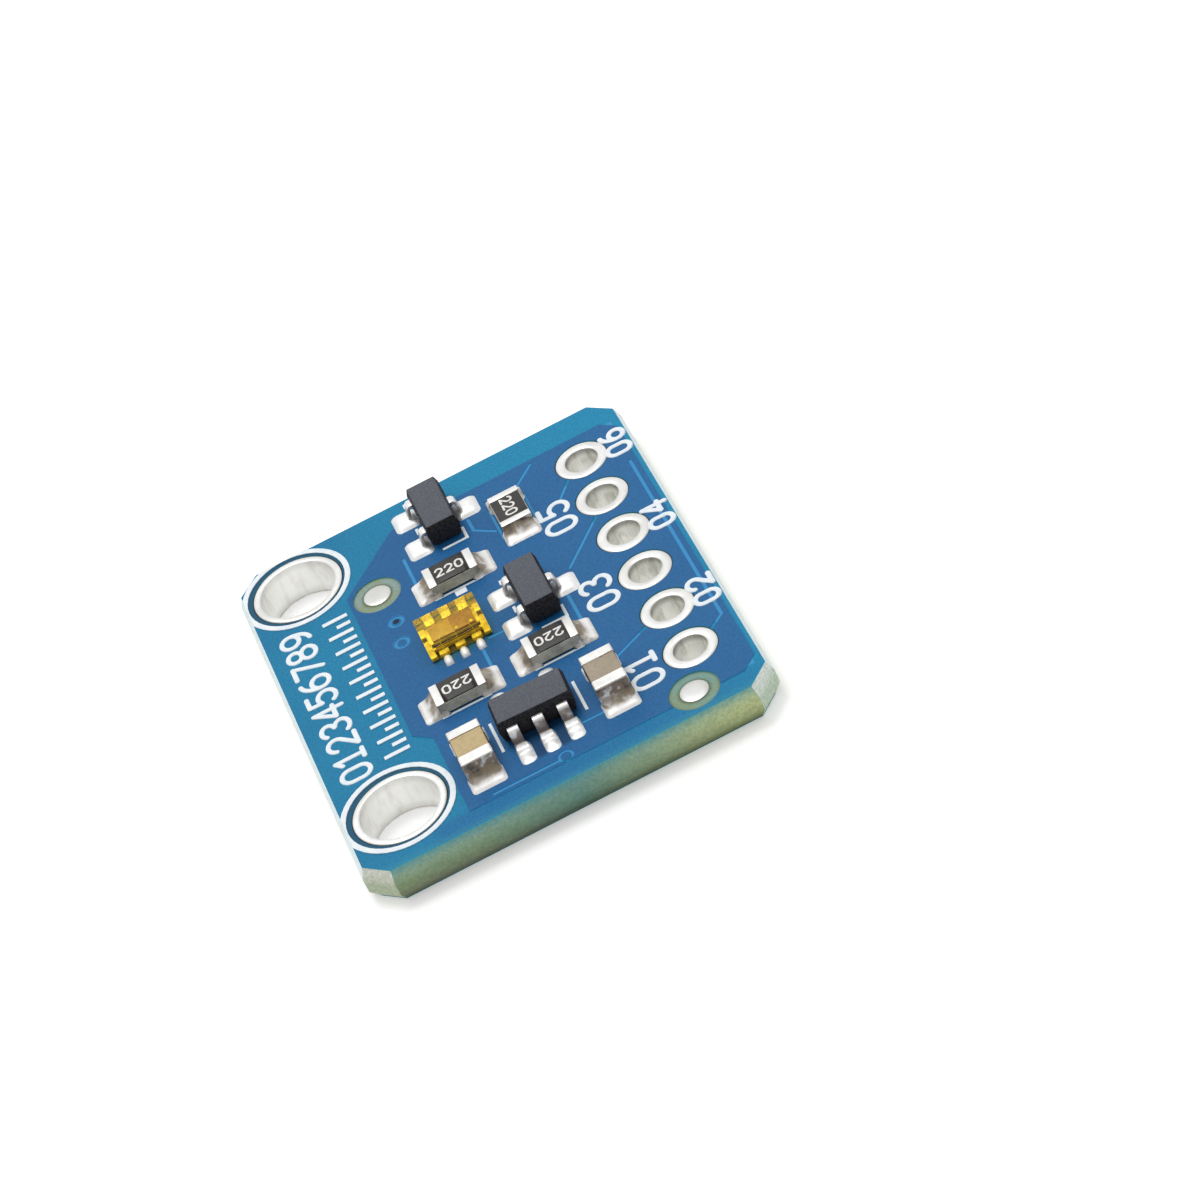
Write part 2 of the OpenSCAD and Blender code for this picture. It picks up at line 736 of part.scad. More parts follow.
board_laminate();
solder_mask_top();
solder_mask_bottom();
masked_copper();
masked_copper_bottom();
white_print();
for (i = [0:1]) mounting_ring(i);
for (i = [0:5]) header_ring(i);
for (i = [0:1]) alignment_dot(i);
sensor_package();
sensor_lead_frame();
sensor_chip();
sensor_solder();
regulator_body();
regulator_solder();
for (i = [0:4]) regulator_lead(i);
for (i = [0:1]) {
    name = str("transistor_", ["a", "b"][i], "_");
    transistor_body(i);
    for (j = [0:2]) transistor_lead(i, j);
    transistor_solder(i);
}
for (i = [0:3]) {
    name = str("resistor_", i + 1, "_");
    resistor_core(i);
    resistor_coat(i);
    resistor_ends(i);
    resistor_solder(i);
}
for (i = [0:1]) {
    name = str("capacitor_", i + 1, "_");
    capacitor_body(i);
    capacitor_ends(i);
    capacitor_solder(i);
}
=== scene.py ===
import json
import math

import bmesh
import bpy
from mathutils import Matrix, Vector, noise


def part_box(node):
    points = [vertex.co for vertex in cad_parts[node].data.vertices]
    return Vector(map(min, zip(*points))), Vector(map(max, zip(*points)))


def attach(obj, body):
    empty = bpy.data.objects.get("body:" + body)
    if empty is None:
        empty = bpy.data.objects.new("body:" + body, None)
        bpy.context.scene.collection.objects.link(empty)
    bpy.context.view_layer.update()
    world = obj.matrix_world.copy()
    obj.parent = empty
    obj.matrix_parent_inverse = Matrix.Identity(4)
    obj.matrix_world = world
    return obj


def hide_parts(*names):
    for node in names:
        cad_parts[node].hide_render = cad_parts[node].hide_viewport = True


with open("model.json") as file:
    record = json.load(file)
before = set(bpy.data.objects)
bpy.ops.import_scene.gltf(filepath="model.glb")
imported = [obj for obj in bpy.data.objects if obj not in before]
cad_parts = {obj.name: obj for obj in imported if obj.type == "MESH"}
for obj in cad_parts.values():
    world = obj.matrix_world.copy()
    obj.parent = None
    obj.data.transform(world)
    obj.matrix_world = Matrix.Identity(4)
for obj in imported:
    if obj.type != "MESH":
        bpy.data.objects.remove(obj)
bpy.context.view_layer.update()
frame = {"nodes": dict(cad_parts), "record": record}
nodes = frame["nodes"]

MM = 0.001
MOUNTS = ("mounting_ring_1", "mounting_ring_2")
HEADERS = tuple(f"header_ring_{n}" for n in range(1, 7))
DOTS = ("alignment_dot_1", "alignment_dot_2")
LEAD_COUNTS = {"regulator": 5, "transistor_a": 3, "transistor_b": 3}


# Places and sizes, in millimetres

def box_mm(name):
    low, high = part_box(name)
    return Vector(low) / MM, Vector(high) / MM


def centre_of(name):
    low, high = box_mm(name)
    return (low + high) / 2


laminate_top = box_mm("board_laminate")[1].z
near_edge = box_mm("board_laminate")[0].x
mask_top = box_mm("solder_mask_top")[1].z
copper_top = box_mm("masked_copper")[1].z
seat = box_mm("sensor_package")[0].z

mount_hole_r = 1.5
header_hole_r = 0.65
barrel_t = 0.16
lead_t = 0.12
lead_foot = 0.24
frame_top = seat + 0.2
terminal_step = 0.65
ink_t = 0.035
digit_w = 0.62
same_place = 0.0001
drilled_via = Vector((2.92, 3.0, 0))
tented_via = Vector((1.65, 3.15, 0))

track_blue = (0.040, 0.275, 0.56)


def smooth_step(t):
    t = min(1.0, max(0.0, t))
    return t * t * (3 - 2 * t)


def concave(t):
    """A fillet's fall: 1 at t = 0, steep at first and flat where it reaches 0 at t = 1."""
    t = min(1.0, max(0.0, t))
    return 1 - math.sqrt(max(0.0, 1 - (1 - t) ** 2))


def waver(x, y, scale, seed):
    """Smooth noise between -1 and 1, the same in each run."""
    return noise.noise(Vector((x * scale + seed * 7.3, y * scale - seed * 3.1, seed * 1.7)))


def heading(points, k):
    """The direction of a line of points at its point k."""
    return points[min(k + 1, len(points) - 1)] - points[max(k - 1, 0)]


def add_object(name, data):
    made = bpy.data.objects.new(name, data)
    bpy.context.scene.collection.objects.link(made)
    return made


# Camera

def make_camera():
    """The photograph's viewpoint: a camera fitted to the holes and edges of the board."""
    azimuth = math.radians(-2.261)
    elevation = math.radians(38.141)
    roll = math.radians(25.675)
    place = Vector((-129.38, 1.19, 102.17)) * MM
    back = Vector((-math.cos(elevation) * math.cos(azimuth),
                   -math.cos(elevation) * math.sin(azimuth),
                   math.sin(elevation)))
    right = Vector((0, 0, 1)).cross(back).normalized()
    down = right.cross(back)
    right_rolled = math.cos(roll) * right + math.sin(roll) * down
    down_rolled = -math.sin(roll) * right + math.cos(roll) * down
    data = bpy.data.cameras.new("camera")
    data.sensor_fit = "HORIZONTAL"
    data.sensor_width = 36
    data.lens = 136.85
    data.clip_start = 0.01
    data.clip_end = 10
    camera = add_object("camera", data)
    turn = Matrix((right_rolled, -down_rolled, back)).transposed().to_4x4()
    camera.matrix_world = Matrix.Translation(place) @ turn
    bpy.context.scene.camera = camera


# Node helpers

class Shader:
    """Builds the node tree of a material, or of the world."""

    def __init__(self, name, world=False):
        self.owner = (bpy.data.worlds if world else bpy.data.materials).new(name)
        self.owner.use_nodes = True
        self.tree = self.owner.node_tree
        self.tree.nodes.clear()
        self.out = self.node("OutputWorld" if world else "OutputMaterial")

    def node(self, kind, inputs=None, **values):
        """Makes a node, with numbers, colours or links for its inputs and values for its properties."""
        made = self.tree.nodes.new("ShaderNode" + kind)
        for key, value in values.items():
            setattr(made, key, value)
        for key, value in (inputs or {}).items():
            socket = made.inputs[key]
            if isinstance(value, (int, float)):
                socket.default_value = value
            elif isinstance(value, tuple):
                socket.default_value = (*value, 1) if len(socket.default_value) == 4 else value
            elif value is not None:
                self.tree.links.new(value, socket)
        return made

    def coords(self):
        return self.node("TexCoord").outputs["Object"]

    def apart(self, vector):
        """The X, Y and Z outputs of a vector."""
        return self.node("SeparateXYZ", {0: vector}).outputs

    def axis(self, name):
        """Object X, Y or Z in millimetres."""
        return self.math("DIVIDE", self.apart(self.coords())[name], MM)

    def facing(self, name="Z"):
        """One part of the surface's direction."""
        return self.apart(self.node("NewGeometry").outputs["Normal"])[name]

    def stretched(self, z):
        """Object coordinates scaled unevenly in height, for fibres and streaks."""
        return self.node("Mapping", {"Scale": (1, 1, z), "Vector": self.coords()}).outputs["Vector"]

    def noise(self, scale, detail=3, rough=0.5, vector=None):
        inputs = {"Vector": vector or self.coords(), "Scale": scale, "Detail": detail, "Roughness": rough}
        return self.node("TexNoise", inputs).outputs["Fac"]

    def distance(self, place):
        """Distance in millimetres in the board's plane from a place."""
        flat = self.node("VectorMath", {0: self.coords(), 1: (1 / MM, 1 / MM, 0)}, operation="MULTIPLY")
        made = self.node("VectorMath", {0: flat.outputs[0], 1: (place.x, place.y, 0)}, operation="DISTANCE")
        return made.outputs["Value"]

    def ramp(self, value, *stops):
        """A colour ramp. stops are (place, colour)."""
        made = self.node("ValToRGB", {"Fac": value})
        elements = made.color_ramp.elements
        while len(elements) < len(stops):
            elements.new(0.5)
        for element, (place, colour) in zip(elements, stops):
            element.position = place
            element.color = (*colour, 1)
        return made.outputs["Color"]

    def span(self, value, low, high, to_low=0.0, to_high=1.0, kind="LINEAR"):
        """Moves a value from one span to another and keeps it there."""
        inputs = {"Value": value, "From Min": low, "From Max": high, "To Min": to_low, "To Max": to_high}
        return self.node("MapRange", inputs, interpolation_type=kind).outputs["Result"]

    def math(self, operation, *values):
        return self.node("Math", dict(enumerate(values)), operation=operation).outputs["Value"]

    def plus(self, a, b):
        return self.math("ADD", a, b)

    def times(self, first, *others):
        for other in others:
            first = self.math("MULTIPLY", first, other)
        return first

    def over(self, value, limit):
        """1 where a value is greater than a limit."""
        return self.math("GREATER_THAN", value, limit)

    def under(self, value, limit):
        """1 where a value is less than a limit."""
        return self.math("LESS_THAN", value, limit)

    def size(self, value):
        return self.math("ABSOLUTE", value)

    def off(self, value, middle):
        """How far a value lies from a middle."""
        return self.size(self.math("SUBTRACT", value, middle))

    def mix(self, factor, a, b, blend="MIX"):
        return self.node("Mix", {0: factor, 6: a, 7: b}, data_type="RGBA", blend_type=blend).outputs[2]

    def bump(self, height, distance, strength=1.0, normal=None):
        inputs = {"Distance": distance * MM, "Strength": strength, "Height": height, "Normal": normal}
        return self.node("Bump", inputs).outputs["Normal"]

    def principled(self, colour, roughness, normal=None, metallic=0.0, **constants):
        inputs = {"Base Color": colour, "Roughness": roughness, "Metallic": metallic, "Normal": normal}
        inputs.update((key.replace("_", " "), value) for key, value in constants.items())
        return self.node("BsdfPrincipled", inputs).outputs["BSDF"]

    def finish(self, surface):
        self.tree.links.new(surface, self.out.inputs["Surface"])
        return self.owner


# Materials of the board

def mask_colour(s, deep, pale):
    """Solder mask: a little deeper toward the mounting holes with painted shade, with drifts and a fine
    grain.
    """
    x, y = s.axis("X"), s.axis("Y")
    ring_shade_r = 2.04
    drift = s.noise(160, 3, 0.55)
    grain = s.noise(9500, 3, 0.75)
    across = s.plus(s.times(y, -0.03), s.times(x, -0.008))
    level = s.plus(s.plus(across, 0.5), s.span(drift, 0.3, 0.7, -0.18, 0.18))
    colour = s.ramp(level, (0.15, deep), (0.85, pale))
    strip = s.times(s.span(x, near_edge + 1.3, near_edge + 0.95, 0.0, 0.7),
                    s.span(y, 5.6, 4.6),
                    s.span(y, -8.0, 0.0, 0.3, 1.0))
    colour = s.mix(strip, colour, (0.010, 0.14, 0.36))
    rim = s.span(x, near_edge + 0.55, near_edge, 0.0, 0.8)
    colour = s.mix(rim, colour, (0.035, 0.28, 0.38))
    # Painted shade: the mask is darkened in a ring round each mounting hole, between its plated land and the
    # print.
    for name in MOUNTS:
        ring_shade = s.under(s.distance(centre_of(name)), ring_shade_r)
        colour = s.mix(s.times(ring_shade, 0.75), colour, (0.010, 0.055, 0.10))
    return s.mix(s.span(grain, 0.4, 0.62, 0.0, 0.3), colour, (0.002, 0.05, 0.14)), grain


def inside_sheet(s):
    """1 over the field of the copper sheet, where this mask shows only in bare lines and round the vias."""
    low, high = box_mm("masked_copper")
    x, y = s.axis("X"), s.axis("Y")
    border, header_border, corner, clearance_r = 0.15, 0.8, 2.8, 1.4
    tests = [s.over(s.axis("Z"), low.z - 0.1),
             s.over(x, low.x + border),
             s.under(x, high.x - border),
             s.over(y, low.y + border),
             s.under(y, high.y - header_border),
             s.under(s.plus(x, y), high.x + high.y - corner)]
    tests += [s.over(s.distance(centre_of(name)), clearance_r) for name in HEADERS]
    return s.times(*tests)


def between_joints(s):
    """Up to 0.62 between the three near joints of the regulator, where the board is darker with painted
    shade.
    """
    low, high = box_mm("regulator_solder")
    body_x = box_mm("regulator_body")[0].x
    x = s.axis("X")
    aside = s.off(s.axis("Y"), (low.y + high.y) / 2)
    along = s.times(s.span(x, low.x - 0.05, low.x + 0.15), s.span(x, body_x + 0.3, body_x + 0.1))
    return s.times(along, s.span(aside, 1.1, 0.95, 0.0, 0.62))


def mask_material(name, deep, pale, side, over_copper=False):
    """Solder mask, with side as the colour of its upright steps."""
    s = Shader(name)
    colour, grain = mask_colour(s, deep, pale)
    if over_copper:
        # Painted shade: a dark disc stands for the open hole of the drilled via.
        hole = s.span(s.distance(drilled_via), 0.14, 0.11)
        colour = s.mix(hole, colour, (0.002, 0.012, 0.05))
        halo_r = 0.25
        for place in (drilled_via, tented_via):
            halo = s.span(s.off(s.distance(place), halo_r), 0.03, 0.11, 0.8, 0.0)
            colour = s.mix(halo, colour, track_blue)
        # Painted shade between the regulator's near joints, under its body.
        colour = s.mix(between_joints(s), colour, (0.006, 0.014, 0.045))
    else:
        colour = s.mix(inside_sheet(s), colour, track_blue)
    upright = s.under(s.size(s.facing()), 0.5)
    colour = s.mix(upright, colour, side)
    rough = s.span(s.noise(420, 3, 0.6), 0.3, 0.7, 0.34, 0.46)
    waves = s.bump(s.noise(1500, 2, 0.5), 0.012, 0.35)
    normal = s.bump(grain, 0.002, 0.5, waves)
    return s.finish(s.principled(colour, rough, normal, Specular_IOR_Level=0.2))


def laminate_sides(s, z, fibre, speck):
    """The board's edge: teal by the mask, olive lower down and darker at the foot with painted shade, and
    pale where the corners and long sides are cut, partly painted light that makes them near-white.
    """
    y = s.axis("Y")
    drift = s.noise(170, 2, 0.5)
    along = s.plus(s.span(y, -8.0, 8.0), s.span(drift, 0.3, 0.7, -0.08, 0.08))
    high, middle, low = (s.ramp(along, *zip((0.08, 0.45, 0.92), colours)) for colours in (
        ((0.58, 0.72, 0.40), (0.19, 0.38, 0.34), (0.36, 0.52, 0.36)),
        ((0.60, 0.68, 0.33), (0.16, 0.34, 0.28), (0.28, 0.39, 0.21)),
        ((0.30, 0.36, 0.16), (0.070, 0.128, 0.09), (0.20, 0.215, 0.14))))
    level = s.plus(z, s.span(fibre, 0.3, 0.7, -0.08, 0.08))
    # Painted shade in part: the lowest zone takes darker olive colours, where the lower bevel faces down.
    body = s.mix(s.span(level, 0.35, 0.9), low, middle)
    body = s.mix(s.span(level, 0.95, 1.3), body, high)
    body = s.mix(s.span(level, 1.25, 1.6, 0.0, 0.85), body, (0.08, 0.40, 0.48))
    # Painted shade: the foot of the edge is darker still.
    body = s.mix(s.span(level, 0.2, 0.05, 0.0, 0.7), body, (0.06, 0.07, 0.03))

    side = s.size(s.facing("Y"))
    corner = s.over(s.times(s.size(s.facing("X")), side), 0.2)
    # Painted light in part: the cut corners are pale fibre, painted near-white as if brightly lit.
    cut = s.mix(s.span(level, 0.9, 1.4), (0.64, 0.78, 0.62), (0.92, 1.0, 0.97))
    cut = s.mix(s.span(y, -7.0, 7.0), cut, (0.88, 0.83, 0.76), "MULTIPLY")
    body = s.mix(corner, body, cut)
    body = s.mix(s.span(speck, 0.38, 0.62, 0.0, 0.26), body, (0.10, 0.14, 0.09))
    body = s.mix(s.span(fibre, 0.55, 0.75, 0.0, 0.15), body, (0.5, 0.58, 0.42))

    # Painted light in part: the upper bevels of the long sides are pale cut fibre, painted near-white as if
    # brightly lit.
    scored = s.times(s.over(side, 0.75), s.over(z, 1.1), s.over(s.facing(), 0.1))
    slope = s.mix(s.span(fibre, 0.45, 0.7, 0.0, 0.6), (0.84, 0.94, 0.95), (0.60, 0.72, 0.66))
    return s.mix(scored, body, slope)


def laminate_top_colour(s, speck):
    """The bare laminate that shows round the dots, darker with painted shade next to each dot and at its
    window's edge, and as a dark line of painted shade round the plated rings.
    """
    bare = s.ramp(s.span(s.axis("X"), -8.0, 5.0), (0.0, (0.20, 0.36, 0.32)), (1.0, (0.27, 0.38, 0.36)))
    bare = s.mix(s.span(s.noise(800, 1), 0.42, 0.62, 0.0, 0.6), bare, (0.27, 0.32, 0.15))
    top = s.mix(s.span(speck, 0.35, 0.65, 0.0, 0.3), bare, (0.15, 0.19, 0.09))
    for name in DOTS:
        away = s.distance(centre_of(name))
        # Painted shade: darker next to each dot and at the outer edge of its window.
        top = s.mix(s.span(away, 0.56, 0.68, 0.7, 0.0), top, (0.10, 0.11, 0.04))
        rim = s.times(s.span(away, 0.84, 0.95, 0.0, 0.6), s.under(away, 1.0))
        top = s.mix(rim, top, (0.10, 0.13, 0.06))
    # Painted shade: a dark line of bare laminate round each plated ring.
    for names, radius, shade in ((MOUNTS, 2.4, (0.02, 0.025, 0.02)), (HEADERS, 1.2, (0.05, 0.06, 0.06))):
        for name in names:
            top = s.mix(s.under(s.distance(centre_of(name)), radius), top, shade)
    return top


def laminate_material():
    s = Shader("laminate_mat")
    z = s.axis("Z")
    fibre = s.noise(2600, 4, 0.7, s.stretched(3.5))
    speck = s.noise(9000, 2, 0.7)
    upward = s.times(s.over(s.facing(), 0.9), s.over(z, 0.8))
    colour = s.mix(upward, laminate_sides(s, z, fibre, speck), laminate_top_colour(s, speck))
    normal = s.bump(fibre, 0.02, 0.5, s.bump(speck, 0.006, 0.5))
    rough = s.span(speck, 0.3, 0.7, 0.6, 0.85)
    return s.finish(s.principled(colour, rough, normal, Specular_IOR_Level=0.3))


def print_material():
    s = Shader("print_mat")
    patch = s.noise(2400, 3, 0.6)
    colour = s.ramp(patch, (0.3, (0.74, 0.82, 0.88)), (0.62, (0.86, 0.90, 0.92)))
    rough = s.span(patch, 0.3, 0.7, 0.5, 0.7)
    return s.finish(s.principled(colour, rough, s.bump(s.noise(6000, 2), 0.004, 0.5)))


# Materials of metal

def metal(name, flat, steep, slope, strength, rough=0.36, metallic=0.65, shade_band=None, sunk=False, foot=None):
    """Tin, solder and plating: pale where it lies flat, mottled, duller and pitted where it is steep, and
    darker there with painted shade in part.

    flat: two colours that it drifts between. steep: its colour on a slope, partly painted shade, and that of
    the pits there.
    slope: the upward part of the surface's direction where steep begins, and where it is all steep.
    band: the heights with all and nothing of a tint of painted shade, the tint's strength and its colour.
    foot: the heights with all and nothing of a plain, bright pool, a painted highlight, and its strength.
    sunk: it takes the mask's colour where it has fallen to the mask, so that pads look round.
    """
    s = Shader(name)
    dark, pale = flat
    slope_shade, pit = steep
    patch = s.noise(1000, 1, 0.4)
    frost = s.noise(6000, 2, 0.6)
    blotch = s.noise(2300, 2, 0.55)
    leaning = s.span(s.size(s.facing()), *slope, 0.0, strength)
    # Painted shade in part: a slope takes a darker, browner colour.
    shade = s.mix(s.span(blotch, 0.53, 0.66), slope_shade, pale)
    shade = s.mix(s.span(blotch, 0.44, 0.34), shade, pit)
    colour = s.mix(leaning, s.ramp(patch, (0.3, dark), (0.65, pale)), shade)
    if shade_band is not None:
        full, none, band_strength, tint = shade_band
        # Painted shade: darker over the given heights.
        colour = s.mix(s.span(s.axis("Z"), none, full, 0.0, band_strength), colour, tint)
    roughness = s.plus(s.span(frost, 0.3, 0.7, rough * 0.85, rough * 1.15), s.times(leaning, 0.2))
    shine = s.span(leaning, 0.0, 1.0, metallic, metallic * 0.45)
    if foot is not None:
        full, none, foot_strength = foot
        ragged = s.plus(s.axis("Z"), s.span(blotch, 0.35, 0.65, -0.035, 0.035))
        low = s.span(ragged, none, full, 0.0, foot_strength)
        # Painted highlight: the low pool is plain near-white and less metallic, so that it shows bright.
        colour = s.mix(low, colour, (0.97, 0.96, 0.94))
        shine = s.times(shine, s.span(low, 0.0, 1.0, 1.0, 0.2))
    if sunk:
        above = s.span(s.axis("Z"), mask_top + 0.007, mask_top + 0.016)
        colour = s.mix(above, (0.013, 0.12, 0.32), colour)
        shine = s.times(shine, above)
    return s.finish(s.principled(colour, roughness, s.bump(patch, 0.016, 0.6), shine))


def chip_joint_material(name, foot_highlight):
    """Solder at the ends of a chip part: brown and mottled high up with painted shade, brighter in the pool
    at its foot with a painted highlight.
    """
    return metal(name, ((0.88, 0.87, 0.85), (0.98, 0.97, 0.96)), ((0.34, 0.28, 0.20), (0.09, 0.07, 0.05)),
                 (0.95, 0.78), 0.9, metallic=0.7, sunk=True,
                 shade_band=(mask_top + 0.36, mask_top + 0.14, 0.75, (0.23, 0.18, 0.12)),
                 foot=(mask_top + 0.14, mask_top + 0.20, foot_highlight))


def barrel_material(name, dark, pale, scale, mouth_shade, foot):
    """The plating inside a hole: rough, blotched, and darker at its two ends, its top and its bottom, with
    painted shade.
    """
    s = Shader(name)
    z = s.axis("Z")
    blotch = s.noise(scale, 3, 0.6, s.stretched(0.35))
    # Painted shade: the plating darkens toward the top and the bottom of the hole, as deep in a hole.
    shade = s.plus(s.span(z, mask_top - 0.32, mask_top - 0.1, 0.0, mouth_shade), s.span(z, 0.4, 0.1, 0.0, foot))
    colour = s.mix(shade, s.ramp(blotch, (0.34, dark), (0.5, pale)), (0.04, 0.04, 0.035))
    return s.finish(s.principled(colour, 0.45, s.bump(blotch, 0.02, 0.6), 0.72))


def gold_material():
    s = Shader("gold_mat")
    patch = s.noise(2600, 3, 0.6)
    colour = s.ramp(patch, (0.3, (0.62, 0.44, 0.07)), (0.65, (0.96, 0.74, 0.15)))
    return s.finish(s.principled(colour, 0.4, s.bump(patch, 0.01, 0.5), 0.25))


# Materials of the bodies and the sensor

def mould_material():
    """Moulding compound: a greyer top face, partly its ground finish and partly painted sheen, near-black
    sides, fine grit all over.
    """
    s = Shader("mould_mat")
    grit = s.noise(11000, 2, 0.75)
    patch = s.noise(1100, 2, 0.5)
    top = s.mix(s.span(grit, 0.3, 0.7), (0.078, 0.085, 0.101), (0.128, 0.138, 0.160))
    top = s.mix(s.span(patch, 0.35, 0.65, 0.0, 0.15), top, (0.08, 0.086, 0.10))
    side = s.mix(s.span(grit, 0.35, 0.65), (0.006, 0.006, 0.008), (0.036, 0.034, 0.040))
    # Painted sheen in part: upward faces take the greyer colour, the others near-black.
    colour = s.mix(s.span(s.facing(), 0.6, 0.92), side, top)
    return s.finish(s.principled(colour, 0.7, s.bump(grit, 0.006, 0.6), Specular_IOR_Level=0.2))


def ceramic_material(name, dark, pale, fleck, scale):
    s = Shader(name)
    grit = s.noise(scale, 3, 0.7)
    drift = s.noise(500, 2, 0.5)
    colour = s.mix(s.span(drift, 0.35, 0.65), dark, pale)
    colour = s.mix(s.span(grit, 0.45, 0.7, 0.0, 0.5), colour, fleck)
    return s.finish(s.principled(colour, 0.5, s.bump(grit, 0.006, 0.6)))


def coat_material():
    s = Shader("coat_mat")
    drift = s.noise(900, 3, 0.6)
    colour = s.ramp(drift, (0.3, (0.014, 0.012, 0.011)), (0.7, (0.036, 0.032, 0.030)))
    return s.finish(s.principled(colour, s.span(drift, 0.3, 0.7, 0.4, 0.6), s.bump(drift, 0.01, 0.5)))


def amber_material():
    """Clear amber resin. Light rays pass straight in, so that what is moulded inside is lit."""
    s = Shader("amber_mat")
    tint = s.mix(s.span(s.noise(700, 2), 0.35, 0.65), (1.0, 0.85, 0.14), (1.0, 0.90, 0.22))
    resin = s.principled(tint, 0.06, s.bump(s.noise(2500, 2), 0.003, 0.4), IOR=1.3, Transmission_Weight=1.0)
    clear = s.node("BsdfTransparent", {"Color": (1.0, 0.94, 0.62)}).outputs[0]
    shadow = s.node("LightPath").outputs["Is Shadow Ray"]
    return s.finish(s.node("MixShader", {0: shadow, 1: resin, 2: clear}).outputs[0])


def under_material(centre):
    """The floor under the lead frame: ochre at the far side, darker toward the near one with painted shade.
    """
    s = Shader("under_mat")
    patch = s.noise(3000, 3, 0.6)
    far = s.ramp(patch, (0.3, (0.20, 0.14, 0.02)), (0.7, (0.42, 0.30, 0.05)))
    near = s.ramp(patch, (0.3, (0.012, 0.008, 0.004)), (0.7, (0.045, 0.028, 0.008)))
    # Painted shade: near-black toward the near side of the package.
    colour = s.mix(s.span(s.axis("X"), centre.x - 0.45, centre.x + 0.2), near, far)
    return s.finish(s.principled(colour, 0.6, s.bump(patch, 0.01, 0.5)))


def chip_material(centre):
    """The silicon chip: an active field on one half, wiring on the other."""
    s = Shader("chip_mat")
    patch = s.noise(5200, 3, 0.6)
    field = s.ramp(patch, (0.3, (0.43, 0.25, 0.075)), (0.7, (0.58, 0.35, 0.10)))
    wiring = s.ramp(patch, (0.3, (0.31, 0.15, 0.06)), (0.7, (0.44, 0.22, 0.09)))
    colour = s.mix(s.over(s.axis("Y"), centre.y + 0.02), wiring, field)
    return s.finish(s.principled(colour, 0.35, s.bump(patch, 0.004, 0.5)))


def make_metals():
    bright = ((0.90, 0.89, 0.88), (0.98, 0.98, 0.97))
    formed = ((0.86, 0.85, 0.84), (0.97, 0.97, 0.96))
    # Painted shade: a dark bluish tint at the foot of the sensor's joints, and a dark tint on the regulator's
    # necks.
    joint_shade = (mask_top + 0.004, mask_top + 0.02, 0.8, (0.04, 0.07, 0.12))
    neck_shade = (seat + 0.2, seat + 0.52, 0.9, (0.11, 0.09, 0.08))
    return {
        "tin": metal(
            "tin_mat", ((0.78, 0.77, 0.74), (0.90, 0.90, 0.88)), ((0.62, 0.58, 0.52), (0.5, 0.46, 0.4)),
            (0.75, 0.1), 0.85, metallic=0.6),
        "dot_tin": metal(
            "dot_tin_mat", ((0.62, 0.62, 0.59), (0.72, 0.72, 0.70)), ((0.5, 0.48, 0.42), (0.4, 0.38, 0.33)),
            (0.75, 0.1), 0.85, rough=0.4, metallic=0.5),
        "solder": chip_joint_material("solder_mat", foot_highlight=0.42),
        "capacitor_solder": chip_joint_material("capacitor_solder_mat", foot_highlight=0.88),
        "bright_solder": metal(
            "bright_solder_mat", bright, ((0.50, 0.46, 0.40), (0.25, 0.22, 0.18)),
            (0.7, 0.3), 0.7, rough=0.42, metallic=0.6, sunk=True),
        "sensor_joint": metal(
            "sensor_joint_mat", bright, ((0.80, 0.78, 0.75), (0.6, 0.57, 0.52)),
            (0.5, 0.1), 0.5, rough=0.45, metallic=0.2, shade_band=joint_shade),
        "lead_metal": metal(
            "lead_mat", formed, ((0.46, 0.42, 0.38), (0.20, 0.17, 0.14)), (0.7, 0.2), 0.8),
        # A shaded copy of the lead metal for the regulator: darker slopes and necks, painted shade under its
        # body.
        "neck_metal": metal(
            "neck_mat", formed, ((0.24, 0.20, 0.17), (0.08, 0.06, 0.05)), (0.8, 0.2), 0.95, shade_band=neck_shade),
        "end_metal": metal(
            "end_mat", ((0.82, 0.81, 0.78), (0.95, 0.94, 0.92)), ((0.27, 0.19, 0.12), (0.07, 0.045, 0.03)),
            (0.75, 0.2), 0.92, metallic=0.7),
        "mount_barrel": barrel_material(
            "mount_barrel_mat", (0.83, 0.82, 0.79), (0.95, 0.95, 0.92), 2600, mouth_shade=0.13, foot=0.15),
        "header_barrel": barrel_material(
            "header_barrel_mat", (0.74, 0.73, 0.67), (0.97, 0.97, 0.93), 3600, mouth_shade=0.5, foot=0.0),
        "gold_frame": gold_material(),
    }


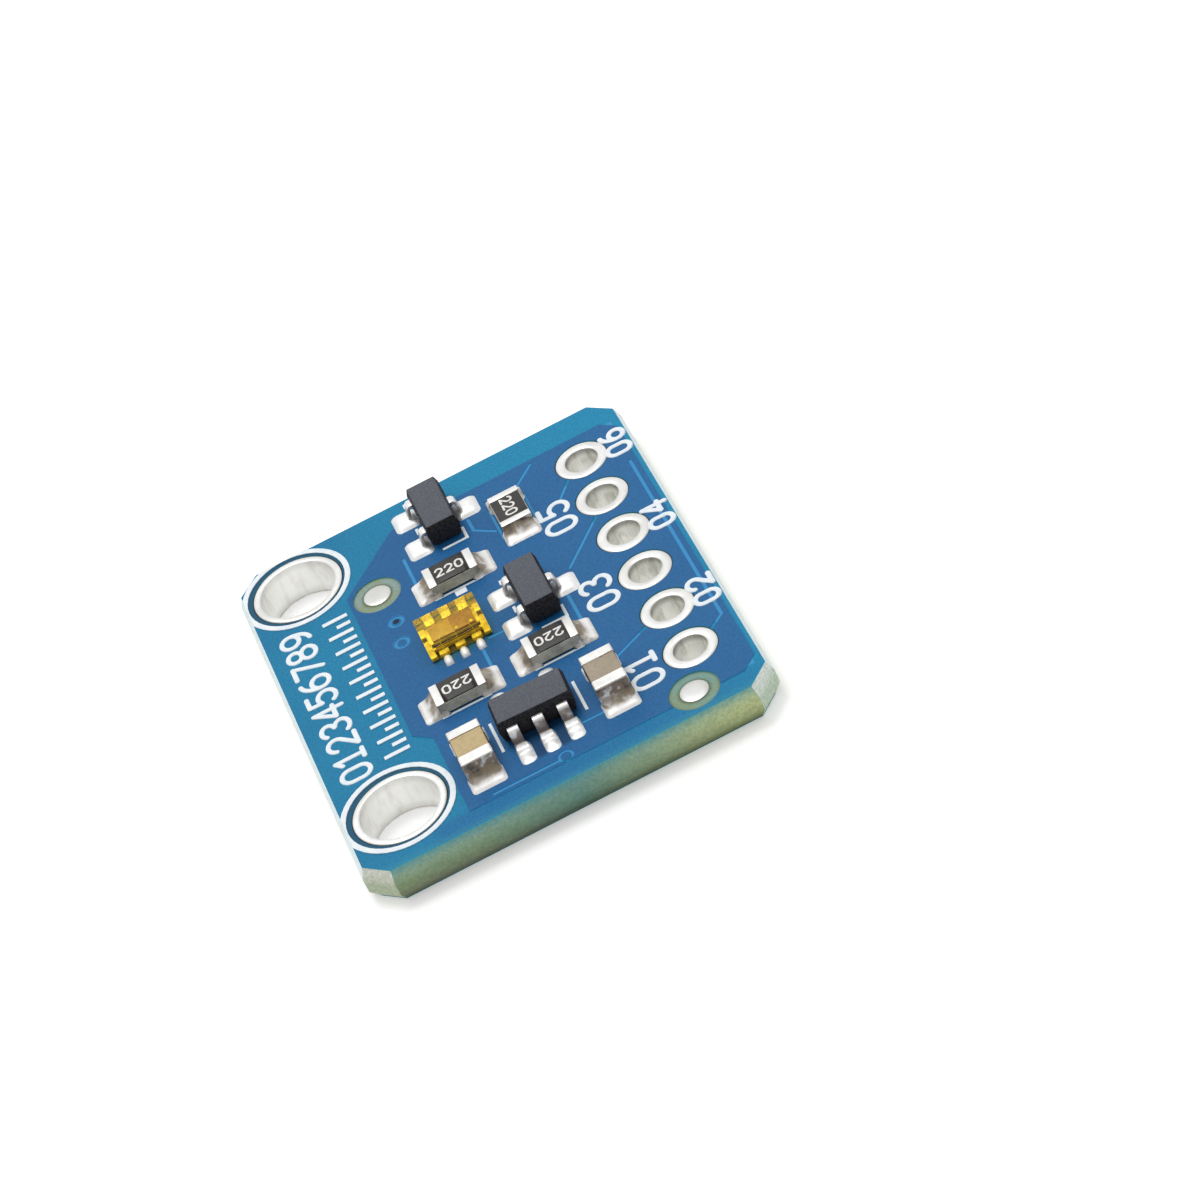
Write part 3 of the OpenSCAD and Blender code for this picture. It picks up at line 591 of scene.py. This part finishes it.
def make_looks():
    """All materials, by slot or by use. Each CAD node gets that of its slot."""
    looks = make_metals()
    chip_centre = centre_of("sensor_chip")
    looks.update({
        "laminate": laminate_material(),
        "mask": mask_material("mask_mat", (0.004, 0.19, 0.37), (0.006, 0.27, 0.48), (0.08, 0.44, 0.52)),
        "mask_over_copper": mask_material(
            "mask_copper_mat", (0.012, 0.115, 0.31), (0.018, 0.143, 0.355), (0.03, 0.30, 0.56),
            over_copper=True),
        "print": print_material(),
        "mould": mould_material(),
        "ceramic_grey": ceramic_material(
            "grey_ceramic_mat", (0.44, 0.43, 0.33), (0.62, 0.60, 0.50), (0.13, 0.12, 0.08), 2600),
        "ceramic_tan": ceramic_material(
            "tan_ceramic_mat", (0.48, 0.36, 0.17), (0.56, 0.43, 0.22), (0.36, 0.25, 0.11), 6000),
        "ceramic_pale": ceramic_material(
            "pale_ceramic_mat", (0.34, 0.28, 0.20), (0.41, 0.34, 0.25), (0.26, 0.20, 0.13), 6000),
        "code_ink": ceramic_material(
            "code_ink_mat", (0.80, 0.79, 0.75), (0.88, 0.87, 0.84), (0.60, 0.58, 0.54), 9000),
        "coat": coat_material(),
        "amber": amber_material(),
        "chip": chip_material(chip_centre),
        "under": under_material(chip_centre),
    })
    slots = {part["node"]: part["material_slot"] for part in frame["record"]["subparts"]}
    slots["capacitor_2_body"] = "ceramic_pale"
    for name, slot in slots.items():
        materials = nodes[name].data.materials
        materials.clear()
        materials.append(looks[slot])
    return looks


# Pieces

def piece(name, shape, materials, replaced=(), angle=40):
    """Makes an object of a bmesh, hides the CAD nodes that it stands for and shades it smooth."""
    bmesh.ops.recalc_face_normals(shape, faces=shape.faces)
    mesh = bpy.data.meshes.new(name)
    shape.to_mesh(mesh)
    shape.free()
    for material in materials:
        mesh.materials.append(material)
    mesh.shade_smooth()
    mesh.set_sharp_from_angle(angle=math.radians(angle))
    made = add_object(name, mesh)
    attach(made, "root")
    if replaced:
        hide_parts(*replaced)


def node_shape(name):
    """A bmesh of a CAD node with its doubled vertices joined."""
    shape = bmesh.new()
    shape.from_mesh(nodes[name].data)
    bmesh.ops.remove_doubles(shape, verts=shape.verts, dist=same_place * MM)
    return shape


def separate(shape):
    """The vertices of a mesh in lists, one for each of its solids."""
    seen = set()
    lists = []
    for start in shape.verts:
        if start in seen:
            continue
        seen.add(start)
        found = [start]
        for vertex in found:
            fresh = [v for v in (edge.other_vert(vertex) for edge in vertex.link_edges) if v not in seen]
            seen.update(fresh)
            found += fresh
        lists.append(found)
    return lists


def soften(name, width, material, longer=0.0, segments=3, leave_out=None, split=False):
    """A copy of a CAD node with its hard edges rounded, which stands for it.

    Edges no longer than longer stay sharp. leave_out tells by its middle which solid is dropped.
    split cuts hollow faces up before the rounding, as the ends of a chip part need.
    """
    hard, flat = math.radians(35), math.radians(0.5)
    shape = node_shape(name)
    if leave_out is not None:
        gone = [verts for verts in separate(shape)
                if leave_out(sum((v.co for v in verts), Vector()) / len(verts) / MM)]
        bmesh.ops.delete(shape, geom=[v for verts in gone for v in verts], context="VERTS")
    bmesh.ops.dissolve_limit(shape, angle_limit=flat, verts=shape.verts, edges=shape.edges)
    if split:
        bmesh.ops.connect_verts_concave(shape, faces=shape.faces[:])
    edges = [edge for edge in shape.edges
             if len(edge.link_faces) == 2
             and edge.calc_face_angle() > hard
             and edge.calc_length() > longer * MM]
    bmesh.ops.bevel(shape, geom=edges, offset=width * MM, segments=segments, profile=0.5, affect="EDGES",
                    clamp_overlap=True)
    bmesh.ops.connect_verts_concave(shape, faces=shape.faces[:])
    piece(name + "_rounded", shape, [material], [name])


# Plated rings, dots and print

def lathe(shape, place, profile, kinds, segments, swell, seed):
    """Turns a closed section of (radius, height) round an axis. kinds gives each stretch's material."""
    rings = []
    for k in range(segments):
        angle = 2 * math.pi * k / segments
        c, s = math.cos(angle), math.sin(angle)
        lift = swell * waver(c, s, 1.6, seed)
        row = []
        for radius, height in profile:
            z = height + (lift * min(1.0, radius) if height > mask_top else 0.0)
            row.append(shape.verts.new(Vector((place.x + radius * c, place.y + radius * s, z)) * MM))
        rings.append(row)
    count = len(profile)
    for k in range(segments):
        a, b = rings[k], rings[(k + 1) % segments]
        for i in range(count):
            j = (i + 1) % count
            face = shape.faces.new((a[i], a[j], b[j], b[i]))
            face.material_index = kinds[i]


def land(outer, inner, crown):
    """The crowned top of a tinned ring, from its outer edge to its inner one."""
    steps = 12
    points = []
    for k in range(steps + 1):
        t = k / steps
        rise = (1 - abs(2 * t - 1) ** 2.6) ** 0.6
        points.append((outer + (inner - outer) * t, mask_top + crown * rise))
    return points


def plated_ring(looks, name, hole_r, barrel, segments, crown, seed):
    """A plated hole: a crowned land on top, the barrel, and a flat land with a chamfer below."""
    chamfer, turned, pad_t = 0.03, 0.025, 0.05
    low, high = box_mm(name)
    pad_r = (high.x - low.x) / 2
    wall = hole_r + barrel_t
    top = land(pad_r, hole_r, crown)
    barrel_points = [(hole_r, mask_top - 0.1 * k) for k in range(1, 16)]
    bottom = [(hole_r + chamfer, 0.0), (pad_r - chamfer, 0.0), (pad_r, turned), (pad_r, pad_t), (wall, pad_t)]
    profile = [(wall, laminate_top), (pad_r, laminate_top)] + top + barrel_points + bottom
    first = 2 + len(top) - 1
    kinds = [1 if first <= i < first + len(barrel_points) else 0 for i in range(len(profile))]
    shape = bmesh.new()
    lathe(shape, (low + high) / 2, profile, kinds, segments, swell=0.006, seed=seed)
    piece(name + "_tinned", shape, [looks["tin"], looks[barrel]], [name])


def alignment_dot(looks, name, seed):
    """A round dot with a low crown. Its section stops just short of the axis."""
    pin_r, crown, shoulder, steps = 0.002, 0.03, 0.01, 10
    low, high = box_mm(name)
    radius = (high.x - low.x) / 2
    profile = [(pin_r, laminate_top), (radius, laminate_top), (radius, mask_top - shoulder)]
    for k in range(1, steps):
        out = 1 - k / steps
        profile.append((radius * out, mask_top + crown * (1 - out ** 3)))
    profile.append((pin_r, mask_top + crown))
    shape = bmesh.new()
    lathe(shape, (low + high) / 2, profile, [0] * len(profile), 64, swell=0.004, seed=seed)
    piece(name + "_tinned", shape, [looks["dot_tin"]], [name])


def make_rings(looks):
    for seed, name in enumerate(MOUNTS):
        plated_ring(looks, name, mount_hole_r, "mount_barrel", 128, 0.034, seed + 1)
    for seed, name in enumerate(HEADERS):
        plated_ring(looks, name, header_hole_r, "header_barrel", 96, 0.036, seed + 11)
    for seed, name in enumerate(DOTS):
        alignment_dot(looks, name, seed + 21)


def make_print(looks):
    """The white print with rounded edges, less the lines at the fourth resistor, where none can be seen."""
    low, high = box_mm("resistor_4_solder")
    margin = 0.4

    def hidden(place):
        return all(low[k] - margin < place[k] < high[k] + margin for k in range(2))

    soften("white_print", 0.008, looks["print"], segments=2, leave_out=hidden)


# Bodies, leads and chip parts

def make_bodies(looks):
    for owner in LEAD_COUNTS:
        soften(owner + "_body", 0.035, looks["mould"], longer=0.6)
    for owner, count in LEAD_COUNTS.items():
        look = looks["neck_metal" if owner == "regulator" else "lead_metal"]
        for k in range(1, count + 1):
            soften(f"{owner}_lead_{k}", 0.025, look)


def make_chips(looks):
    for k in range(1, 5):
        soften(f"resistor_{k}_ends", 0.03, looks["end_metal"], longer=0.2, split=True)
        soften(f"resistor_{k}_coat", 0.012, looks["coat"], longer=0.2, segments=2)


# Solder

def islands(name):
    """Boxes in mm of the separate solids of a CAD node."""
    shape = node_shape(name)
    boxes = [[Vector(end(v.co[k] for v in verts) for k in range(3)) / MM for end in (min, max)]
             for verts in separate(shape)]
    shape.free()
    return boxes


def height_solid(shape, low, high, height, steps):
    """A closed solid over a rectangle, from the laminate up to the height given for each place."""
    places = [-1 + 2 * k / steps for k in range(steps + 1)]

    def spread(a, b):
        """Places from a to b, closer together near both ends."""
        return [(a + b) / 2 + (b - a) / 2 * (0.6 * t + 0.4 * math.sin(math.pi / 2 * t)) for t in places]

    xs = spread(low.x, high.x)
    ys = spread(low.y, high.y)
    top = [[shape.verts.new(Vector((x, y, height(x, y))) * MM) for x in xs] for y in ys]
    for j in range(steps):
        for i in range(steps):
            shape.faces.new((top[j][i], top[j][i + 1], top[j + 1][i + 1], top[j + 1][i]))
    rim = top[0] + [row[-1] for row in top[1:]] + top[-1][-2::-1] + [row[0] for row in top[-2:0:-1]]
    foot = [shape.verts.new((v.co.x, v.co.y, laminate_top * MM)) for v in rim]
    for k in range(len(rim)):
        n = (k + 1) % len(rim)
        shape.faces.new((foot[k], foot[n], rim[n], rim[k]))
    shape.faces.new(foot[::-1])


def joint(owner, shape, material):
    piece(owner + "_solder_joint", shape, [material], [owner + "_solder"], angle=60)


def pool(x, y, low, high, edge, corner):
    """A pool's height from 0 at the edge of its pad to 1 inside, with the pad's corners cut round."""
    half_x, half_y = (high.x - low.x) / 2, (high.y - low.y) / 2
    corner = min(corner, half_x, half_y)
    dx = abs(x - (low.x + high.x) / 2) - (half_x - corner)
    dy = abs(y - (low.y + high.y) / 2) - (half_y - corner)
    outside = math.hypot(max(dx, 0), max(dy, 0)) + min(max(dx, dy), 0) - corner
    t = min(1.0, max(0.0, -outside / edge))
    return 1 - (1 - t) ** 2


def chip_solder(material, part, seed, climb, swell):
    """Solder at both ends of a chip part: a lumpy ramp from the end down to the pad's edge."""
    ends_low, ends_high = box_mm(part + "_ends")
    size = ends_high - ends_low
    middle = (ends_low + ends_high) / 2
    half_long = max(size.x, size.y) / 2
    half_wide = min(size.x, size.y) / 2
    along = 0 if size.x > size.y else 1
    hidden, sunk, film = 0.035, 0.006, 0.004
    shape = bmesh.new()
    for number, (low, high) in enumerate(islands(part + "_solder")):
        far = max(abs(high[along] - middle[along]), abs(low[along] - middle[along]))
        reach = far - half_long
        margin = (high[1 - along] - low[1 - along]) / 2 - half_wide
        own = seed * 5 + number * 2 + 1
        lean = 0.2 * waver(own, 2.0, 0.37, own)

        def height(x, y):
            place = (x, y)
            u = abs(place[along] - middle[along]) - half_long
            v = place[1 - along] - middle[1 - along]
            side = abs(v) - half_wide
            if u < -hidden and side < -hidden:
                return seat - sunk
            pooled = pool(x, y, low, high, edge=0.16, corner=0.2)
            lumps = 1 + 0.3 * waver(x, y, 2.4, own) + lean * v
            fall = (1 - min(1.0, max(0.0, u) / (reach * 0.96))) ** 1.7
            if u < -hidden:
                back = max(0.0, 1 + u / 0.36)
                across = 0.7 * math.sqrt(back) * concave(max(0.0, side) / margin)
            else:
                q = min(1.0, max(0.0, side + 0.26) / (margin + 0.24))
                across = (1 - q * q) ** 0.8
            return mask_top + film + swell * pooled + climb * lumps * fall * across * min(1.0, pooled * 2.5)

        height_solid(shape, low, high, height, 48)
    joint(part, shape, material)


def lead_solder(looks, owner, seed, swell, spread):
    """Solder over the feet of formed leads: a dome on the pad with a hill that buries the foot."""
    leads = [box_mm(f"{owner}_lead_{k}") for k in range(1, LEAD_COUNTS[owner] + 1)]
    body = centre_of(owner + "_body")
    film, cover = 0.004, 0.014
    shape = bmesh.new()
    for number, (low, high) in enumerate(islands(owner + "_solder")):
        middle = (low + high) / 2
        lead_low, lead_high = min(leads, key=lambda b: ((b[0] + b[1]) / 2 - middle).xy.length)
        lead_middle = (lead_low + lead_high) / 2
        lead_size = lead_high - lead_low
        along = 0 if lead_size.x > lead_size.y else 1
        foot_low, foot_high = lead_low.copy(), lead_high.copy()
        if lead_middle[along] > body[along]:
            foot_low[along] = foot_high[along] - lead_foot
        else:
            foot_high[along] = foot_low[along] + lead_foot
        own = seed * 7 + number * 3 + 2

        def height(x, y):
            pooled = pool(x, y, low, high, edge=0.26, corner=0.24)
            gap_x = max(foot_low.x - x, x - foot_high.x, 0.0)
            gap_y = max(foot_low.y - y, y - foot_high.y, 0.0)
            away = math.hypot(gap_x, gap_y)
            lumps = 1 + 0.3 * waver(x, y, 2.2, own)
            level = mask_top + film + swell * pooled * lumps
            over = seat + lead_t + cover - level
            return level + over * (1 - smooth_step(away / spread)) * min(1.0, pooled * 3)

        height_solid(shape, low, high, height, 42)
    joint(owner, shape, looks["bright_solder"])


def sensor_solder(looks):
    """Small round domes against the sides of the clear package."""
    body_low, body_high = box_mm("sensor_package")
    hidden, sunk, film, rise = 0.03, 0.006, 0.002, 0.19
    shape = bmesh.new()
    for low, high in islands("sensor_solder"):
        def height(x, y):
            if body_low.x + hidden < x < body_high.x - hidden:
                return seat - sunk
            gap = body_low.x - x if x < body_low.x else x - body_high.x
            reach = max(body_low.x - low.x, high.x - body_high.x)
            across = abs(y - (low.y + high.y) / 2) / ((high.y - low.y) / 2)
            ahead = abs(gap - 0.47 * reach) / (0.53 * reach)
            dome = math.sqrt(max(0.0, 1 - across ** 2.4 - ahead ** 2.4))
            return mask_top + film + rise * dome

        height_solid(shape, low, high, height, 34)
    joint("sensor", shape, looks["sensor_joint"])


def make_solder(looks):
    for k in range(1, 5):
        chip_solder(looks["solder"], f"resistor_{k}", k, climb=0.36, swell=0.06)
    for k in range(1, 3):
        chip_solder(looks["capacitor_solder"], f"capacitor_{k}", k + 6, climb=0.40, swell=0.08)
    lead_solder(looks, "regulator", 1, swell=0.08, spread=0.2)
    lead_solder(looks, "transistor_a", 2, swell=0.11, spread=0.34)
    lead_solder(looks, "transistor_b", 3, swell=0.11, spread=0.34)
    sensor_solder(looks)


# Light sensor

def block(shape, x0, x1, y0, y1, z0, z1, edge, kind=0):
    """A block with rounded edges."""
    made = bmesh.ops.create_cube(shape, size=1)
    for vertex in made["verts"]:
        vertex.co = Vector((x1 if vertex.co.x > 0 else x0,
                            y1 if vertex.co.y > 0 else y0,
                            z1 if vertex.co.z > 0 else z0)) * MM
    edges = list(dict.fromkeys(e for v in made["verts"] for e in v.link_edges))
    result = bmesh.ops.bevel(shape, geom=edges, offset=edge * MM, segments=3, profile=0.5, affect="EDGES")
    faces = {f for f in result["faces"]} | {f for v in result["verts"] for f in v.link_faces}
    for face in faces:
        face.material_index = kind


def sensor_frame(looks):
    """Lead frame: six terminals, the paddle with its tie bars, and a floor under them, dark toward the near
    side with painted shade.
    """
    low, high = box_mm("sensor_package")
    chip_low, chip_high = box_mm("sensor_chip")
    middle = (low + high) / 2
    inset, half_wide, round_edge, thin_edge = 0.004, 0.19, 0.03, 0.004
    near_end, far_start = low.x + 0.31, high.x - 0.42
    bottom = seat + inset
    paddle_bottom = seat + 0.03
    shape = bmesh.new()
    for step in (-1, 0, 1):
        y = middle.y + step * terminal_step
        for x0, x1 in ((low.x + inset, near_end), (far_start, high.x - inset)):
            block(shape, x0, x1, y - half_wide, y + half_wide, bottom, frame_top, round_edge)
    block(shape, chip_low.x - 0.02, chip_high.x + 0.05, low.y + 0.2, high.y - 0.2, paddle_bottom, frame_top,
          round_edge)
    for y0, y1 in ((low.y + inset, low.y + 0.26), (high.y - 0.26, high.y - inset)):
        for x0, x1 in ((low.x + inset, low.x + 0.84), (low.x + 1.1, far_start)):
            block(shape, x0, x1, y0, y1, paddle_bottom, frame_top, round_edge)
    block(shape, low.x + inset, high.x - inset, low.y + inset, high.y - inset, bottom, seat + 0.02,
          thin_edge, 1)
    piece("sensor_lead_frame_detail", shape, [looks["gold_frame"], looks["under"]],
          ["sensor_lead_frame"])


def sensor_chip(looks):
    """The chip with two flattened bonding balls."""
    low, high = box_mm("sensor_chip")
    shape = bmesh.new()
    block(shape, low.x, high.x, low.y, high.y, frame_top, high.z, 0.012)
    for x, y, r in ((low.x + 0.12, low.y + 0.15, 0.085), (low.x + 0.14, low.y + 0.72, 0.07)):
        made = bmesh.ops.create_uvsphere(shape, u_segments=20, v_segments=12, radius=r * MM)
        for vertex in made["verts"]:
            vertex.co.z *= 0.35
            vertex.co += Vector((x, y, high.z)) * MM
        for face in {f for v in made["verts"] for f in v.link_faces}:
            face.material_index = 1
    piece("sensor_chip_detail", shape, [looks["chip"], looks["gold_frame"]], ["sensor_chip"])


def tube(shape, points, radius, sides=8):
    """A thin round wire through points in mm."""
    rows = []
    for k, point in enumerate(points):
        ahead = heading(points, k)
        across = ahead.cross(Vector((0, 0, 1))).normalized()
        up = across.cross(ahead).normalized()
        row = []
        for n in range(sides):
            angle = 2 * math.pi * n / sides
            aside = math.cos(angle) * across + math.sin(angle) * up
            row.append(shape.verts.new((point + radius * aside) * MM))
        rows.append(row)
    for a, b in zip(rows, rows[1:]):
        for n in range(sides):
            m = (n + 1) % sides
            shape.faces.new((a[n], a[m], b[m], b[n]))
    shape.faces.new(rows[0][::-1])
    shape.faces.new(rows[-1])


def bond_wires(looks):
    """Fine gold wires from the chip to the terminals."""
    low, high = box_mm("sensor_package")
    chip_low, chip_high = box_mm("sensor_chip")
    middle = (low + high) / 2
    pad_step, steps, rise, wire_r = 0.55, 12, 0.11, 0.009
    shape = bmesh.new()
    for step in (-1, 0, 1):
        for start_x, end_x in ((chip_low.x + 0.1, low.x + 0.22), (chip_high.x - 0.08, high.x - 0.25)):
            start = Vector((start_x, middle.y + step * pad_step, chip_high.z))
            end = Vector((end_x, middle.y + step * terminal_step, frame_top))
            points = []
            for k in range(steps + 1):
                t = k / steps
                point = start.lerp(end, t)
                point.z += rise * math.sin(math.pi * t) ** 0.8
                points.append(point)
            tube(shape, points, wire_r)
    piece("sensor_wires", shape, [looks["gold_frame"]])


def sensor_package(looks):
    """The resin block over the frame, chip and wires, with slightly rounded edges."""
    low, high = box_mm("sensor_package")
    shape = bmesh.new()
    block(shape, low.x, high.x, low.y, high.y, seat, high.z, 0.028)
    piece("sensor_package_resin", shape, [looks["amber"]], ["sensor_package"])


# Numbers

def bow(cx, cy, rx, ry, start, end, steps=18):
    """Points on an arc, angles in degrees."""
    angles = [math.radians(start + (end - start) * k / steps) for k in range(steps + 1)]
    return [(cx + rx * math.cos(angle), cy + ry * math.sin(angle)) for angle in angles]


def digit_strokes(digit):
    """Strokes of a plain digit in a cell digit_w wide and 1 high."""
    wide = digit_w
    mid = wide / 2
    return {
        "0": [bow(mid, 0.68, mid, 0.32, 0, 180), bow(mid, 0.32, mid, 0.32, 180, 360),
              [(0, 0.32), (0, 0.68)], [(wide, 0.32), (wide, 0.68)]],
        "1": [[(mid, 0), (mid, 1)], [(mid, 1), (0.08, 0.8)], [(0.1, 0), (0.52, 0)]],
        "2": [bow(mid, 0.7, mid, 0.3, 165, -38), [(0.55, 0.51), (0, 0)], [(0, 0), (wide, 0)]],
        "3": [bow(0.29, 0.755, 0.29, 0.245, 150, -75), bow(0.29, 0.26, 0.33, 0.26, 75, -150)],
        "4": [[(0.46, 0), (0.46, 1)], [(0.46, 1), (0, 0.3)], [(0, 0.3), (wide, 0.3)]],
        "5": [[(0.56, 1), (0.08, 1)], [(0.08, 1), (0.05, 0.56)], bow(0.29, 0.32, 0.33, 0.32, 130, -145)],
        "6": [bow(mid, 0.31, mid, 0.31, 0, 360, 28), bow(0.5, 0.34, 0.5, 0.66, 178, 96)],
        "7": [[(0, 1), (wide, 1)], [(wide, 1), (0.2, 0)]],
        "8": [bow(mid, 0.755, 0.26, 0.245, 0, 360, 28), bow(mid, 0.26, mid, 0.26, 0, 360, 28)],
        "9": [bow(mid, 0.69, mid, 0.31, 0, 360, 28), bow(0.12, 0.66, 0.5, 0.66, -2, -84)],
    }[digit]


def ink_line(shape, points, width, low, high):
    """A raised line of ink through points in mm: a crowned top, rounded ends and a flat foot."""
    section = ((-1, 0.0), (-0.86, 0.72), (-0.5, 1.0), (0, 1.0), (0.5, 1.0), (0.86, 0.72), (1, 0.0))
    round_end = (0.3, 0.6, 0.85, 0.98)
    places = [Vector(p) for p in points]
    first = (places[0] - places[1]).normalized()
    last = (places[-1] - places[-2]).normalized()
    rows = [(places[0] + first * width / 2 * t, -first, math.sqrt(1 - t * t)) for t in reversed(round_end)]
    rows += [(place, heading(places, k).normalized(), 1.0) for k, place in enumerate(places)]
    rows += [(places[-1] + last * width / 2 * t, last, math.sqrt(1 - t * t)) for t in round_end]
    made = []
    for place, ahead, scale in rows:
        across = Vector((-ahead.y, ahead.x))
        row = []
        for side, lift in section:
            spot = place + across * side * scale * width / 2
            z = low + (high - low) * lift * (0.4 + 0.6 * scale)
            row.append(shape.verts.new(Vector((spot.x, spot.y, z)) * MM))
        made.append(row)
    for a, b in zip(made, made[1:]):
        for i in range(len(section) - 1):
            shape.faces.new((a[i], a[i + 1], b[i + 1], b[i]))
        shape.faces.new((a[-1], a[0], b[0], b[-1]))
    shape.faces.new(made[0])
    shape.faces.new(made[-1][::-1])


def write_number(shape, text, place, size, width, turn, low, high):
    """Writes digits centred on a place, in a direction in degrees.

    Each stroke is a hair lower than the one before, so that no two tops coincide.
    """
    hair = 0.0015
    advance = digit_w * size + width * 1.6
    c, s = math.cos(math.radians(turn)), math.sin(math.radians(turn))
    start = -(len(text) - 1) * advance / 2 - digit_w / 2 * size
    for k, digit in enumerate(text):
        for layer, stroke in enumerate(digit_strokes(digit)):
            cell = [(start + k * advance + x * size, (y - 0.5) * size) for x, y in stroke]
            points = [(place[0] + a * c - b * s, place[1] + a * s + b * c) for a, b in cell]
            ink_line(shape, points, width, low, high - hair * layer)


def scale_numbers(looks):
    """0 to 9 over the ten long lines of the light scale."""
    middle = sum(centre_of(name).x for name in MOUNTS) / 2
    step, row_y, size, width = 0.95, 6.62, 1.1, 0.2
    shape = bmesh.new()
    for k in range(10):
        place = (middle + (k - 4.5) * step, row_y)
        write_number(shape, str(k), place, size, width, 0, mask_top, mask_top + ink_t)
    piece("scale_numbers", shape, [looks["print"]])


def pin_numbers(looks):
    """01 to 06 beside the header holes, by turns on the inner and the outer side of the row."""
    width = 0.22
    shape = bmesh.new()
    for k, name in enumerate(reversed(HEADERS)):
        hole = centre_of(name)
        offset, size = (1.83, 1.12) if k % 2 == 0 else (-1.42, 0.9)
        place = (hole.x, hole.y + offset)
        write_number(shape, f"0{k + 1}", place, size, width, 0, mask_top, copper_top + ink_t)
    piece("pin_numbers", shape, [looks["print"]])


def resistor_numbers(looks):
    """Plain numbers on the resistors' coats."""
    size, width = 0.42, 0.085
    shape = bmesh.new()
    for k, turn in ((1, -90), (2, 90), (3, 90), (4, 180)):
        coat = f"resistor_{k}_coat"
        top = box_mm(coat)[1].z
        write_number(shape, "220", centre_of(coat).xy, size, width, turn, top - 0.004, top + 0.008)
    piece("resistor_numbers", shape, [looks["code_ink"]])


# Stage and light

def make_floor():
    """A plain pale floor. What looks at it sees it lifted to white, with the object's shadow kept."""
    half_size, lift_strength = 1.5, 0.36
    mesh = bpy.data.meshes.new("floor")
    made = bmesh.new()
    bmesh.ops.create_grid(made, x_segments=2, y_segments=2, size=half_size)
    made.to_mesh(mesh)
    made.free()
    floor = add_object("floor", mesh)
    s = Shader("floor_mat")
    colour = s.ramp(s.noise(900, 3), (0.3, (0.80, 0.80, 0.80)), (0.7, (0.82, 0.82, 0.82)))
    rays = s.node("LightPath").outputs
    seen = s.math("MAXIMUM", rays["Is Camera Ray"], rays["Is Glossy Ray"])
    seen = s.math("MAXIMUM", seen, rays["Is Transmission Ray"])
    lift = s.node("Emission", {"Strength": s.times(seen, lift_strength)}).outputs[0]
    mesh.materials.append(s.finish(s.node("AddShader", {0: s.principled(colour, 0.9), 1: lift}).outputs[0]))


def make_lamp():
    """One soft lamp, high over the object and a little behind it."""
    place = Vector((0.085, 0.03, 0.25))
    data = bpy.data.lights.new("key", "AREA")
    data.shape = "SQUARE"
    data.size = 0.12
    data.energy = 0.3
    lamp = add_object("key", data)
    lamp.location = place
    lamp.rotation_euler = (-place).to_track_quat("-Z", "Y").to_euler()


def make_world():
    """A pale studio: bright overhead and behind the object, darker and warmer in front of it."""
    s = Shader("world", world=True)
    direction = s.apart(s.node("TexCoord").outputs["Generated"])
    behind = s.span(direction["X"], -0.7, 0.7)
    walls = s.ramp(behind, (0.0, (0.52, 0.49, 0.46)), (1.0, (0.98, 0.99, 1.0)))
    overhead = s.span(direction["Z"], 0.45, 0.9, kind="SMOOTHSTEP")
    above = s.mix(overhead, walls, (0.78, 0.79, 0.80))
    horizon = s.span(direction["Z"], 0.1, 0.22, kind="SMOOTHSTEP")
    whole = s.mix(horizon, (0.98, 0.98, 0.98), above)
    bpy.context.scene.world = s.finish(s.node("Background", {"Color": whole, "Strength": 0.85}).outputs[0])


make_camera()
looks = make_looks()
for make in (make_rings, make_print, make_bodies, make_solder, make_chips,
             sensor_frame, sensor_chip, bond_wires, sensor_package,
             scale_numbers, pin_numbers, resistor_numbers):
    make(looks)
make_floor()
make_world()
make_lamp()
bpy.context.scene.view_settings.view_transform = "Standard"
